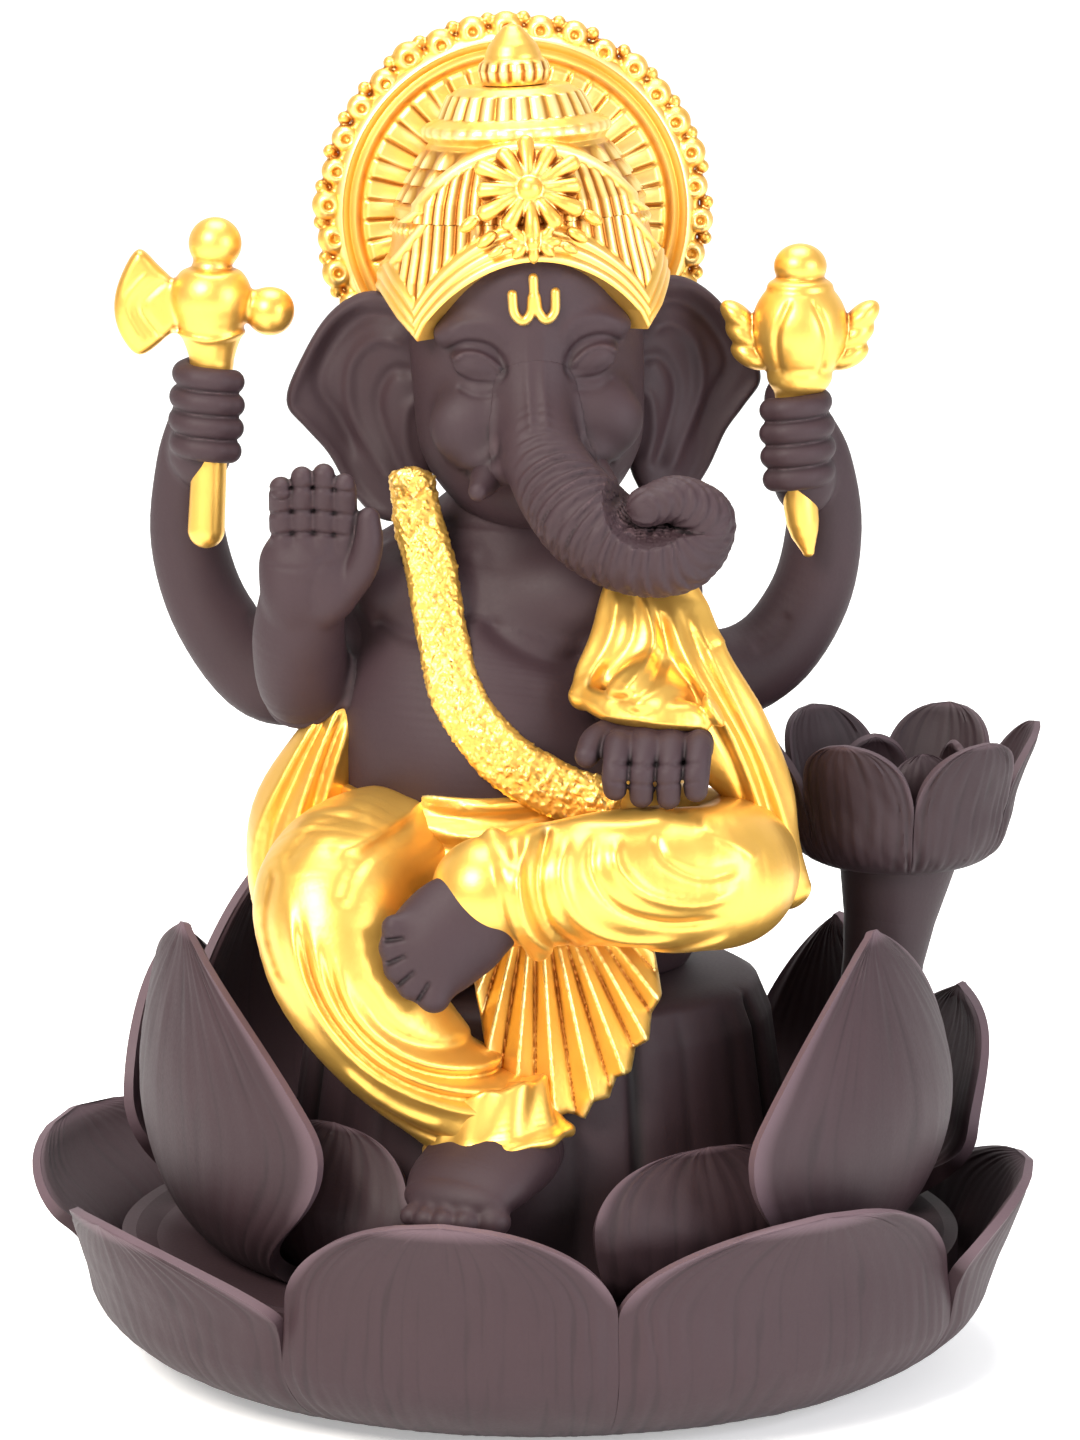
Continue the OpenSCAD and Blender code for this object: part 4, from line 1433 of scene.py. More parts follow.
    def build(self) -> None:
        """Builds and dresses the head's pieces."""
        whole = self.whole()
        reach = Limb(grown(self.trunk[1:], 2.2))
        sculpt("head", Lap(whole, reach), Slot.FIGURE, 0.33)
        sculpt("trunk", Kept(whole, reach), Slot.FIGURE, 0.3)
        tusks = [Posed(Limb(mirrored(self.tusk, side), deep=(0, 0, 1)), HEAD) for side in (-1, 1)]
        sculpt("tusks", Fused(tusks, 0.2), Slot.FIGURE, 0.3)
        for side, name in ((-1, "ear left"), (1, "ear right")):
            sculpt(name, self.ear_form(side), Slot.FIGURE, 0.36)


def turned(radius: Array, height: Array, around: Array) -> Array:
    """Returns a grid of points round the Z axis, from radii and heights of rows by columns."""
    return np.stack([radius * np.sin(around), -radius * np.cos(around), height], -1)


@dataclass
class Crown:
    """The tall crown: fluted band, tiered cap, finial, flower medallion and forehead mark."""

    opening: float = 18.2
    opening_z: float = -1.1
    opening_rise: float = 20.0
    rim: float = 8.0
    temple: float = 6.0
    top: float = 24.0
    reach: float = 20.6
    arch_side: float = 17.4
    arch_peak: float = 34.8
    back: float = -0.5
    flower: float = 28.8
    # height and radius of the frieze where it leans back over the cap
    slope: Sequence[Point] = ((24, 18.7), (26.7, 18.0), (29.1, 16.9), (33.1, 14.5), (35, 13.5), (42, 12))
    profile: Sequence[Point] = ((8, 20.4), (11, 20.8), (16, 20.2), (20, 19.2), (24, 18.4))
    cap: Sequence[Point] = (
        (0, 17.6), (1.6, 17.9), (2.6, 16.8), (5, 15.6), (9, 13.2), (10.0, 12.5), (11.2, 13.1),
        (12.4, 12.9), (13.4, 10.9), (15, 10.2), (16.5, 9.4), (17.5, 7.8),
    )

    # height and radius of the dowel and the knob
    knob: Sequence[Point] = (
        (-3.6, 2), (-0.1, 2), (0, 4.5), (1.0, 4.8), (2, 5), (3.0, 4.7), (3.6, 4.0), (4.2, 3.9),
        (5.4, 3.4), (6.8, 2.3), (8.0, 1.2), (8.4, 0.1),
    )

    def edge(self, x: Array) -> Array:
        """Returns the height of the frieze's upper edge, which arches up over the brow."""
        rise = self.arch_peak - self.arch_side
        return self.arch_side + rise * (1 - np.minimum(np.abs(x) / self.reach, 1) ** 2.3)

    def seated(self, points: Array, wall: float) -> Array:
        """Returns points moved to the crown's middle, and cut flat where the halo stands."""
        moved = points + np.array([0, self.back, 0])
        moved[..., 1] = np.minimum(moved[..., 1], wall)
        return moved

    def band(self) -> Skin:
        """Returns the band: three plain ropes along the brow's arch, and a frieze under its own arch."""
        rows, columns = ((96, 640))
        a = np.linspace(0, 2 * math.pi, columns, endpoint=False)
        x = self.reach * np.sin(a)
        arch = self.opening_z + self.opening_rise * np.sqrt(np.maximum(1 - (x / self.opening) ** 2, 0))
        # over the ears the rim is cut away on a slant, and it comes down again at the back
        slant = self.temple * np.clip((np.abs(x) - 16.2) / 4.2, 0, 1)
        slant = np.where(np.cos(a) > 0, slant, self.temple * (1 - ease(0.05, 0.6, -np.cos(a))))
        foot = np.where(np.cos(a) > 0, np.maximum(self.rim + slant, arch), self.rim + slant)
        t = np.linspace(0, 1, rows)[:, None]
        z = foot + (self.top - foot) * t
        up = z - foot
        r = np.interp(z, *np.array(self.profile).T)
        below = np.where(np.cos(a) > 0, self.edge(x), self.arch_side) - z
        ropes = sum(np.exp(-(((up - s) / 0.7) ** 2)) for s in (0.7, 2.4, 4.2))
        frieze = ease(5.2, 5.8, up) * ease(1.6, 2.1, below)
        arch = np.exp(-(((below - 0.7) / 0.75) ** 2)) * ease(4.8, 5.8, up)
        flute = ripple(a * 58 / (2 * math.pi) + 0 * z, 0.7)
        bare = ease(0, 0.8, -below)
        beads = ripple(a * 64 / (2 * math.pi) + 0 * z, 0.8) * np.exp(-(((z - 22.8) / 0.6) ** 2)) * bare
        lift = 0.5 * ropes + 0.55 * (flute - 0.5) * frieze + 0.55 * arch + 0.6 * beads - 0.7 * bare
        # painted highlight on the ropes, flutes, beads and arch
        painted_highlight = np.clip(0.6 * ropes + 0.8 * flute * frieze + beads + 0.8 * arch, 0, 1)
        # painted shade between the flutes, between the ropes and on the bare band
        hollow = np.clip(frieze * (1 - flute) + 0.3 * (1 - ropes) * ease(5.2, 4.8, up) + 0.25 * bare, 0, 1)
        outer = turned(r + lift - 0.25, z, a + 0 * z)
        inner = turned(np.interp(z, [8, 16, 24], [17.2, 16.9, 15.5]) + 0 * z, z, a + 0 * z)
        return hoop(self.seated(outer, 16.2), self.seated(inner, 13.6), painted_highlight, hollow)

    def dome(self) -> Skin:
        """Returns the cap: the frieze's arch over leaf tiers, a rope, then a small ribbed tier."""
        rows, columns = ((130, 560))
        a = np.linspace(0, 2 * math.pi, columns, endpoint=False)
        h = np.linspace(0, 17.5, rows)[:, None]
        r = np.interp(h, *np.array(self.cap).T)
        leaf_rows = h / 2.35
        row = np.floor(leaf_rows)
        within = leaf_rows - row
        count = 26 - 2 * np.minimum(row, 3)
        shape = np.abs(((a / (2 * math.pi) * count + 0.5 * (row % 2)) % 1) - 0.5) * 2
        leaf = np.clip(1 - shape**2 - (within - 0.2) ** 2 * 1.1, 0, 1)
        vein = 0.35 * np.exp(-((shape / 0.16) ** 2))
        lower = ease(1.6, 2.2, h) * ease(0, 0.5, 9.6 - h)
        upper = ease(13.2, 13.6, h) * ease(0, 0.4, 16.8 - h)
        pearls = ripple(a * 34 / (2 * math.pi) + 0 * h, 0.8)
        rope = np.exp(-(((h - 11.7) / 0.9) ** 2)) * (0.55 + 0.45 * pearls)
        upper_rib = ripple(a * 26 / (2 * math.pi) + 0 * h, 0.7) * upper
        z = 24.1 + h + 0 * a
        ahead = ease(-0.05, 0.3, np.cos(a))
        below = (self.edge(r * np.sin(a)) - z) * ahead - 2 * (1 - ahead)
        front = ease(-0.3, 0.4, below)
        flute = ripple(a * 58 / (2 * math.pi) + 0 * h, 0.7)
        frieze = ease(1.6, 2.1, below)
        arch = np.exp(-(((below - 0.7) / 0.75) ** 2))
        lower = lower * (1 - front)
        lift = lower * (0.45 * leaf + vein * leaf - 0.2) + 0.5 * rope + 0.45 * (upper_rib - 0.4 * upper)
        lift += 0.55 * (flute - 0.5) * frieze + 0.5 * arch
        r = r + front * (np.interp(z, *np.array(self.slope).T) - r)
        # painted highlight on the leaves, rope, ribs, flutes and arch
        painted_highlight = np.clip(lower * leaf**2 + rope + upper_rib + 0.8 * flute * frieze + 0.8 * arch, 0, 1)
        # painted shade between the leaves, between the upper ribs and between the flutes
        shade = 0.7 * lower * (1 - leaf) + 0.7 * upper * (1 - upper_rib)
        hollow = np.clip(shade + frieze * (1 - flute), 0, 1)
        outer = turned(r + lift - 0.2, z, a + 0 * h)
        inner = turned(np.maximum(r - 3.0, 2.1) + 0 * a, z, a + 0 * h)
        lid = turned(np.full((1, columns), 2.05), np.full((1, columns), 24.1 + 17.6), a[None, :])
        outer, inner = np.concatenate([outer, lid]), np.concatenate([inner, lid - [0, 0, 0.8]])
        blank = np.zeros((1, columns))
        tones = np.vstack([painted_highlight, blank]), np.vstack([hollow, blank])
        return hoop(self.seated(outer, 16.2), self.seated(inner, 13.6), *tones)

    def finial(self) -> Skin:
        """Returns the turned knob with its flutes and the dowel under it."""
        rows, columns = 60, 120
        profile = np.array(self.knob).T
        h = np.interp(np.linspace(0, 1, rows), np.linspace(0, 1, len(self.knob)), profile[0])[:, None]
        r = np.interp(h, *profile)
        a = np.linspace(0, 2 * math.pi, columns, endpoint=False)
        flute = ripple(a * 16 / (2 * math.pi) + 0 * h, 0.7)
        calm = ease(0.2, 0.8, h) * ease(0, 0.8, 3.6 - h)
        outer = turned(r + 0.3 * (flute - 0.7) * calm, 41.8 + h + 0 * a, a + 0 * h)
        inner = turned(np.maximum(r - 1.6, 0.05) + 0 * a, 41.8 + h + 0 * a, a + 0 * h)
        shift = np.array([0, self.back, 0])
        # painted highlight on the flutes and painted shade between them
        return hoop(outer + shift, inner + shift, flute * calm, (1 - flute) * calm)

    def medallion(self) -> Form:
        """Returns the flower on the frieze: twelve curled petals, a boss, and a small flower below."""

        def at(x: float, z: float, out: float = 0.0) -> Point:
            front = np.interp(z, [16, 20, 24, 29, 33, 37], [20.4, 19.9, 19.3, 17.6, 15.4, 13.4])
            return (x, -front - 0.4 + 0.018 * x * x - out, z)

        forms: list[Form] = [Egg(at(0, self.flower, 0.7), (1.7, 1.5, 1.7))]
        for k in range(12):
            b = 2 * math.pi * k / 12
            reach = 3.8 if k % 2 else 4.4
            rows = []
            for share, size, out in ((0.45, 0.75, 0.3), (1.1, 1.05, 0.6), (1.6, 1.2, 0.35)):
                across, up = share * reach * math.sin(b), 0.84 * share * reach * math.cos(b)
                rows.append((*at(across, self.flower + up, out), size, size))
            forms.append(Limb(rows, per=3))
        for k in range(8):
            b = 2 * math.pi * k / 8
            middle = at(2.6 * math.sin(b), 21.6 + 1.5 * math.cos(b), 0.2)
            forms.append(Egg(middle, (0.8, 0.9, 1.4), (0, math.degrees(b), 0)))
        forms.append(Egg(at(0, 21.6, 0.6), (0.9, 1.0, 0.9)))
        for side in (-1, 1):
            for reach, rise, size in ((6.2, 22.2, 1.1), (5.0, 20.6, 0.9), (8.4, 24.4, 1.1)):
                forms.append(Egg(at(side * reach, rise), (size * 1.5, 1.0, size * 0.8), (0, side * 35, 0)))
        backing = Egg(at(0, self.flower, -1.4), (6.8, 1.5, 5.6), (-24, 0, 0))
        return Posed(Fused([backing, *forms], 0.45), HEAD)

    def mark(self) -> Form:
        """Returns the forehead mark: two hooks joined at the middle, under a short stem."""
        y = -18.1
        hook = [(0.25, 13.6), (0.55, 11.6), (1.6, 10.5), (2.75, 11.6), (2.95, 14.2)]
        lines = [mirrored(hook, side) for side in (-1, 1)]
        lines.append([(0, 12.0), (0, 14.4), (0, 16.3)])
        forms = []
        for line in lines:
            rows = [(x, y + 0.024 * x * x - 0.02 * (z - 12), z + 0.2, 0.7, 0.9) for x, z in line]
            forms.append(Limb(rows, per=5))
        return Posed(Fused(forms, 0.4), HEAD)

    def build(self) -> None:
        """Builds and dresses the crown's pieces."""
        set_down("crown band", self.band(), HEAD, ["crown_band"], Slot.GILDING)
        set_down("crown cap", self.dome(), HEAD, ["crown_cap"], Slot.GILDING)
        set_down("crown finial", self.finial(), HEAD, ["crown_finial"], Slot.GILDING)
        sculpt("crown medallion", self.medallion(), Slot.GILDING, 0.24)
        sculpt("forehead mark", self.mark(), Slot.GILDING, 0.16)


@dataclass
class Halo:
    """The halo behind the crown: a rayed disc with a double ring, and a rim of pierced beads."""

    centre: Point = (0.5, 15.0, 22.3)
    radius: float = 28.5
    beads: int = 34

    def disc(self) -> Skin:
        """Returns the disc."""
        rows, columns = ((90, 720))
        a = np.linspace(0, 2 * math.pi, columns, endpoint=False)
        r = np.linspace(2.0, self.radius - 2.6, rows)[:, None]
        # fine cuts between flat rays, with a long oval on every other one
        ray = 1 - ripple(a * 44 / (2 * math.pi) + 0 * r, 9.0)
        oval = ripple(a * 22 / (2 * math.pi) + 0 * r, 3.0) * np.exp(-(((r - 17.5) / 2.4) ** 2))
        spread = ease(9, 12, r) * ease(0, 0.8, 21.6 - r)
        rings = np.exp(-(((r - 22.6) / 0.55) ** 2)) + 1.2 * np.exp(-(((r - 24.6) / 0.75) ** 2))
        beads = np.exp(-(((r - 10.0) / 0.8) ** 2)) * ripple(a * 40 / (2 * math.pi) + 0 * r, 0.8)
        lift = (0.4 * ray + 0.3 * oval) * spread + 1.0 * rings + 0.5 * beads
        y = self.centre[1] + 0.25 - lift
        x, z = self.centre[0] + r * np.sin(a), self.centre[2] + r * np.cos(a)
        front = np.stack([x, y, z], -1)
        back = np.stack([x, self.centre[1] + 3.0 + 0 * x, z], -1)
        # painted highlight on the rays, ovals, rings and beads
        painted_highlight = np.clip((0.5 * ray + 0.5 * oval) * spread + rings + beads, 0, 1)
        # painted shade in the cuts between rays and between the inner beads
        hollow = np.clip(0.8 * (1 - ray) * spread + 0.5 * (1 - beads) * ease(12, 9, r), 0, 1)
        return hoop(front, back, painted_highlight, hollow)

    def rim(self) -> Form:
        """Returns the rim: lobed beads, each with a drilled dimple, on a ring."""
        x, y, z = self.centre[0], self.centre[1] + 1.4, self.centre[2]
        circle = np.linspace(0, 2 * math.pi, 49)
        ring_r = self.radius - 3.0
        ring = [(x + ring_r * math.sin(b), y, z + ring_r * math.cos(b), 0.9, 1.4) for b in circle]
        lobes, sizes, dimples = [], [], []
        for k in range(self.beads):
            b = 2 * math.pi * k / self.beads
            out = self.radius - 2.3 + 0.35 * math.sin(3.7 * k)
            size = 2.15 + 0.2 * math.sin(5.3 * k + 1)
            lobes.append((x + out * math.sin(b), y - 0.3, z + out * math.cos(b)))
            sizes.append((size, 2.0, size))
            small = b + math.pi / self.beads
            reach = self.radius - 0.9
            lobes.append((x + reach * math.sin(small), y, z + reach * math.cos(small)))
            sizes.append((0.95, 1.1, 0.95))
            dimples.append((x + out * math.sin(b), y - 2.5, z + out * math.cos(b)))
        body = Fused([Limb(ring, per=1), Pebbles(lobes, sizes)], 0.4)
        return Posed(Cut(body, [Pebbles(dimples, [(0.85, 1.5, 0.85)] * self.beads)], soft=0.35), HEAD)

    def build(self) -> None:
        """Builds and dresses the halo's pieces."""
        set_down("halo disc", self.disc(), HEAD, ["halo_disc"], Slot.GILDING)
        sculpt("halo beads", self.rim(), Slot.GILDING, 0.34)


@dataclass
class Body:
    """The torso, the two rear arms with their fists, and the two front arms with their hands."""

    torso: Sequence[Point] = (
        (0, 3, 0.1, 24, 19), (0, 3, 8, 27, 20), (-1, 1, 18, 26, 20.5), (-3, -3, 28, 23, 20.5),
        (-3.5, -4.5, 38, 22.3, 19.6), (-2, -2, 48, 21, 15.5), (0, 0, 56, 21.5, 13.5),
        (1, 1, 63, 17.5, 12), (1, 1, 70, 9, 9),
    )
    axe_arm: Sequence[Point] = (
        (-17, 3, 47, 6, 6), (-27, 6, 41.5, 6.6, 6), (-36, 8, 40.5, 6.4, 6), (-43.5, 8.5, 49, 5.8, 5.6),
        (-47, 7.5, 60, 5.4, 5.2), (-46.6, 5, 71, 4.8, 4.8), (-44.6, 2.9, 78.0, 4.6, 4.6),
        (-43.6, 2.4, 82, 4, 4.2),
    )
    lotus_arm: Sequence[Point] = (
        (17, 3, 47, 6, 6), (27, 6, 41, 6.6, 6), (35.5, 8, 43.6, 6.2, 6), (41.4, 8.5, 52, 5.8, 5.6),
        (43.4, 7.5, 62, 5.4, 5.2), (42.4, 5, 71.5, 4.8, 4.8), (39.8, 2.9, 77, 4.6, 4.6),
        (38.6, 2.4, 81, 4, 4.2),
    )
    raised_arm: Sequence[Point] = (
        (-18, -1, 54, 6.4, 6.4), (-24.5, -3, 46, 6.6, 6.6), (-29.4, -8.4, 42.2, 6.6, 6.4),
        (-30.6, -13.6, 49, 6.5, 6), (-29.8, -17, 56, 6.0, 4.9), (-29.0, -18.6, 60, 6.2, 3.9),
    )
    resting_arm: Sequence[Point] = (
        (12, -8, 50, 6.0, 6), (17, -18, 42.4, 6.0, 4.6), (18, -26, 38.8, 6.8, 3.2),
        (18.6, -31.4, 37.8, 7.4, 2.8), (18.9, -34.6, 36.8, 7.2, 2.4),
    )
    finger: float = 1.78

    def torso_form(self) -> Form:
        """Returns the torso: belly, two soft breasts, shoulders and the folds between."""
        forms = [
            Limb(self.torso, per=18, flat=True),
            Egg((-13.6, -9.4, 56.4), (9.6, 7.4, 6.8)),
            Egg((7.2, -10.2, 54.8), (11.4, 8.0, 7.6)),
            Egg((-3.5, -9.5, 33), (17.4, 15.4, 13.5)),
            Egg((-19, 0, 54), (7, 7, 7)),
            Egg((19, 0, 54), (7, 7, 7)),
        ]
        folds = [
            Stroke([(-20.5, 52.5), (-15, 50.0), (-8.5, 50.4)], 1.1, -0.55),
            Stroke([(-5.4, 53.0), (-1, 49.4), (5, 46.9), (12, 47.6)], 1.2, -0.8),
            Stroke([(-7.2, 62.0), (-6.2, 57.0), (-6.0, 52.0)], 1.5, -0.5),
            Stroke([(-11, 46.0), (-4, 44.6), (4, 43.4)], 1.6, -0.18),
        ]
        return Chased(Fused(forms, 3.2), folds)

    def fist(self, axis: Point, lean: float, top: float, side: int) -> list[Form]:
        """Returns four fingers and a thumb closed round an upright handle.

        Args:
            axis: where the handle's axis is, as x and y at the top finger.
            lean: how far the axis moves along x for each millimetre up.
            top: height of the top finger.
            side: -1 where the knuckles are on the left, 1 where they are on the right.
        """
        forms: list[Form] = []
        for k in range(4):
            z = top - 3.25 * k
            x, y = axis[0] + lean * (z - top), axis[1]
            reach = 3.9 + (0.25 if k in (1, 2) else 0)
            rows = []
            for b in (-130, -95, -60, -25, 15, 50):
                a = math.radians(b)
                across, up = x - side * reach * math.sin(a), z + 0.9 - 0.007 * (b + 130)
                rows.append((across, y - reach * math.cos(a), up, 1.72, 1.72))
            forms.append(Limb(rows, deep=(0, 0, 1), per=4))
        x = axis[0] - lean * 12
        forms.append(Egg((x + side * 1.2, axis[1] + 1.6, top - 10.5), (4.4, 4.2, 5.2)))
        return forms

    def rear_arm(
        self, stations: Sequence[Point], handle: Point, lean: float, top: float, side: int
    ) -> Form:
        """Returns a rear arm with its fist."""
        fingers = Fused(self.fist(handle, lean, top, side), 0.55)
        arm = Limb(stations)
        fold = [Stroke([(side * 38.5, 50.5), (side * 36.2, 46.8), (side * 33.0, 45.2)], 0.9, -0.3, near=12)]
        return Chased(Fused([arm, fingers], 1.3), fold)

    def raised_hand(self) -> Form:
        """Returns the raised hand: palm to the front, four fingers bent a little forward."""
        fingers: list[Form] = []
        for x, top in ((-32.6, 73.2), (-29.7, 74.8), (-26.7, 75.2), (-23.9, 73.8)):
            r = self.finger
            rows = [
                (x * 0.93 - 2.0, -19.4, 61.5, r, r),
                (x * 0.98 - 0.6, -20.0, 65.4, r, r),
                (x, -21.0, 69.0, r * 0.98, r),
                (x, -22.0, 71.4, r * 0.95, r),
                (x, -22.6, top - 1.5, r * 0.86, r * 0.9),
            ]
            fingers.append(Limb(rows, per=4))
        palm = [
            Egg((-28.8, -18.4, 60.4), (6.9, 3.4, 6.6)),
            Egg((-31.6, -19.6, 57.0), (3.4, 2.7, 4.6)),
            Egg((-25.6, -19.8, 56.8), (3.0, 2.8, 4.4), (0, 14, 0)),
        ]
        thumb = Limb(
            [
                (-25.0, -19.2, 56, 2.6, 2.6), (-21.8, -20.6, 60.2, 2.3, 2.3),
                (-20.6, -21.4, 64, 2.0, 2.0), (-20.6, -21.4, 67.4, 1.6, 1.6),
            ],
            per=4,
        )
        lines = [
            Stroke([(-35, 71.4), (-29, 72.0), (-22, 71.2)], 0.34, -0.34),
            Stroke([(-35, 68.0), (-29, 68.6), (-22, 67.8)], 0.36, -0.4),
            Stroke([(-35, 65.0), (-29, 65.4), (-22.6, 64.8)], 0.4, -0.45),
            Stroke([(-35.4, 61.0), (-30, 60.6), (-25, 62.0)], 0.4, -0.4),
            Stroke([(-26.6, 62.6), (-28.4, 58.6), (-28.2, 54.0)], 0.5, -0.4),
        ]
        return Chased(Fused([Fused(fingers, 0.55), Fused(palm, 1.6), thumb], 0.7), lines)

    def resting_fingers(self) -> Form:
        """Returns the resting hand's four fingers, bent down over the knee, and its thumb."""
        forms: list[Form] = []
        for x, z in ((13.4, 32.6), (17.0, 31.6), (20.7, 31.4), (24.4, 32.4)):
            r = 1.85
            rows = [
                (x + 0.5, -32.0, 38.2, r, r),
                (x + 0.2, -35.2, 38.0, r * 1.05, r),
                (x, -37.2, 36.2, r, r),
                (x - 0.2, -38.0, 34.2, r, r * 0.95),
                (x - 0.2, -37.8, z, r * 0.88, r * 0.85),
            ]
            forms.append(Limb(rows, per=4))
        thumb = Limb(
            [(13.5, -28.5, 39.0, 2.2, 2.2), (10.6, -32.4, 38.4, 2.0, 2.0), (9.4, -35.4, 36.8, 1.7, 1.7)],
            deep=(0, 0, 1),
            per=4,
        )
        lines = [
            Stroke([(11.8, 36.4), (18, 36.0), (26, 36.4)], 0.35, -0.3),
            Stroke([(11.8, 34.0), (18, 33.4), (26, 34.0)], 0.3, -0.22),
        ]
        return Chased(Fused([Fused(forms, 0.3), thumb], 0.6), lines)

    def build(self) -> None:
        """Builds and dresses the torso and the arms."""
        raised = Fused([Limb(self.raised_arm), self.raised_hand()], 1.6)
        resting = Fused([Limb(self.resting_arm, deep=(0, 0, 1)), self.resting_fingers()], 1.4)
        whole = Fused([self.torso_form(), raised, resting], 2.4)
        reach = [
            Limb(grown(self.raised_arm[1:], 1.4)),
            Limb(grown(self.resting_arm[1:], 1.4), deep=(0, 0, 1)),
        ]
        hand = Egg((-28, -21.4, 66), (14, 9.5, 14.5))
        knuckles = Egg((17.4, -36.4, 35.6), (14, 9.5, 10))
        over = (Fused([reach[0], hand], 0.4), Fused([reach[1], knuckles], 0.4))
        sculpt("torso", Lap(whole, Fused(over, 0.1)), Slot.FIGURE, 0.42)
        sculpt("raised arm", Kept(whole, over[0]), Slot.FIGURE, 0.3, "blessing_arm")
        sculpt("resting arm", Kept(whole, over[1]), Slot.FIGURE, 0.3, "resting_hand")
        axe = self.rear_arm(self.axe_arm, (-43.0, -1.6), 0.052, 84.6, -1)
        sculpt("axe arm", axe, Slot.FIGURE, 0.34)
        lotus = self.rear_arm(self.lotus_arm, (38.4, -1.6), -0.052, 80.6, 1)
        sculpt("lotus arm", lotus, Slot.FIGURE, 0.34)


@dataclass
class Emblems:
    """What the rear hands hold: the battle axe and the lotus bud, both gilded."""

    axe_at: Point = (-43.0, -1.6, 94.4)
    bud_at: Point = (39.4, -1.6, 83.0)
    blade: Sequence[Point] = (
        (-4, 2.4), (-7, 5.4), (-10, 7.8), (-12.6, 3.6), (-13.4, -0.6), (-12.4, -4.4), (-9.8, -7),
        (-6, -4.4), (-4, -2.4),
    )

    def axe(self) -> Form:
        """Returns the axe: knobbed head, crescent blade and handle."""
        x, y, z = self.axe_at
        blade = Slab(through(self.blade, 5).tolist(), 0.0, 3.6, soft=1.6)
        forms = [
            Limb([(x - 1.0, y, 63, 2.6, 2.6), (x - 0.4, y, 75, 2.5, 2.5), (x, y, 88, 2.9, 2.9)], per=3),
            Limb([(x, y, 87, 2.9, 2.9), (x, y, 90.5, 4.2, 4.2), (x, y, 92.5, 4.6, 4.6)], per=4),
            Egg((x, y, z + 1.5), (5.7, 5.6, 5.4)),
            Egg((x + 0.6, y, z + 9), (3.7, 3.7, 3.7)),
            Egg((x + 8.2, y, z - 0.5), (3.4, 3.4, 3.4)),
            Limb([(x, y, z + 0.4, 2, 2), (x + 9, y, z + 0.2, 2, 2)], deep=(0, 0, 1), per=2),
            Posed(blade, Place((x - 0.2, y, z + 0.4))),
        ]
        rings = [
            Stroke([(x - 5, z - 3.4), (x, z - 4.2), (x + 5, z - 3.4)], 0.5, 0.4, near=10, fade=0),
            Stroke(
                [(x - 4, z + 5.9), (x + 0.4, z + 5.4), (x + 4.6, z + 5.9)], 0.45, -0.35, near=10, fade=0
            ),
            Stroke([(x - 6, z + 4.4), (x - 9.6, z + 0.4), (x - 6.4, z - 4.6)], 0.6, -0.35, near=10),
            Stroke([(x - 8.2, z + 5.6), (x - 12, z + 0.4), (x - 9.2, z - 5.4)], 0.5, 0.25, near=10),
        ]
        return Chased(Fused(forms, 0.9), rings)

    def lotus(self) -> Form:
        """Returns the lotus bud: a rounded heart, ribbed side petals, a knob, and the stem's torn end."""
        x, y, z = self.bud_at
        stem = [
            (x + 1.4, y, 60, 0.9, 1.0),
            (x + 0.6, y, 64, 2.3, 2.3),
            (x - 0.2, y, 72, 2.4, 2.4),
            (x - 0.6, y, 84, 3.0, 3.0),
        ]
        forms: list[Form] = [
            Limb(stem, per=3),
            Egg((x, y, z + 8.4), (6.8, 6.6, 7.6)),
            Egg((x, y, z + 17.2), (3.7, 3.7, 3.2)),
            Egg((x, y, z + 14.4), (4.6, 4.6, 1.6)),
            Egg((x, y, z + 2), (4.6, 4.6, 3.4)),
        ]
        for side in (-1, 1):
            for k, lift in enumerate((-1.6, 1.2, 3.8)):
                middle = (x + side * (6.8 + 0.9 * k), y + 0.4, z + 6.2 + lift)
                forms.append(Egg(middle, (3.1, 2.5, 1.7), (0, side * -(26 + 8 * k), 0)))
        seams = [
            Stroke([(x - 2.6, z + 2.0), (x - 3.4, z + 8), (x - 1.2, z + 13.6)], 0.5, -0.4, near=4),
            Stroke([(x + 2.6, z + 2.0), (x + 3.4, z + 8), (x + 1.2, z + 13.6)], 0.5, -0.4, near=4),
        ]
        return Chased(Fused(forms, 0.6), seams)

    def build(self) -> None:
        """Builds and dresses both emblems."""
        sculpt("battle axe", self.axe(), Slot.GILDING, 0.3)
        sculpt("lotus bud", self.lotus(), Slot.GILDING, 0.3)


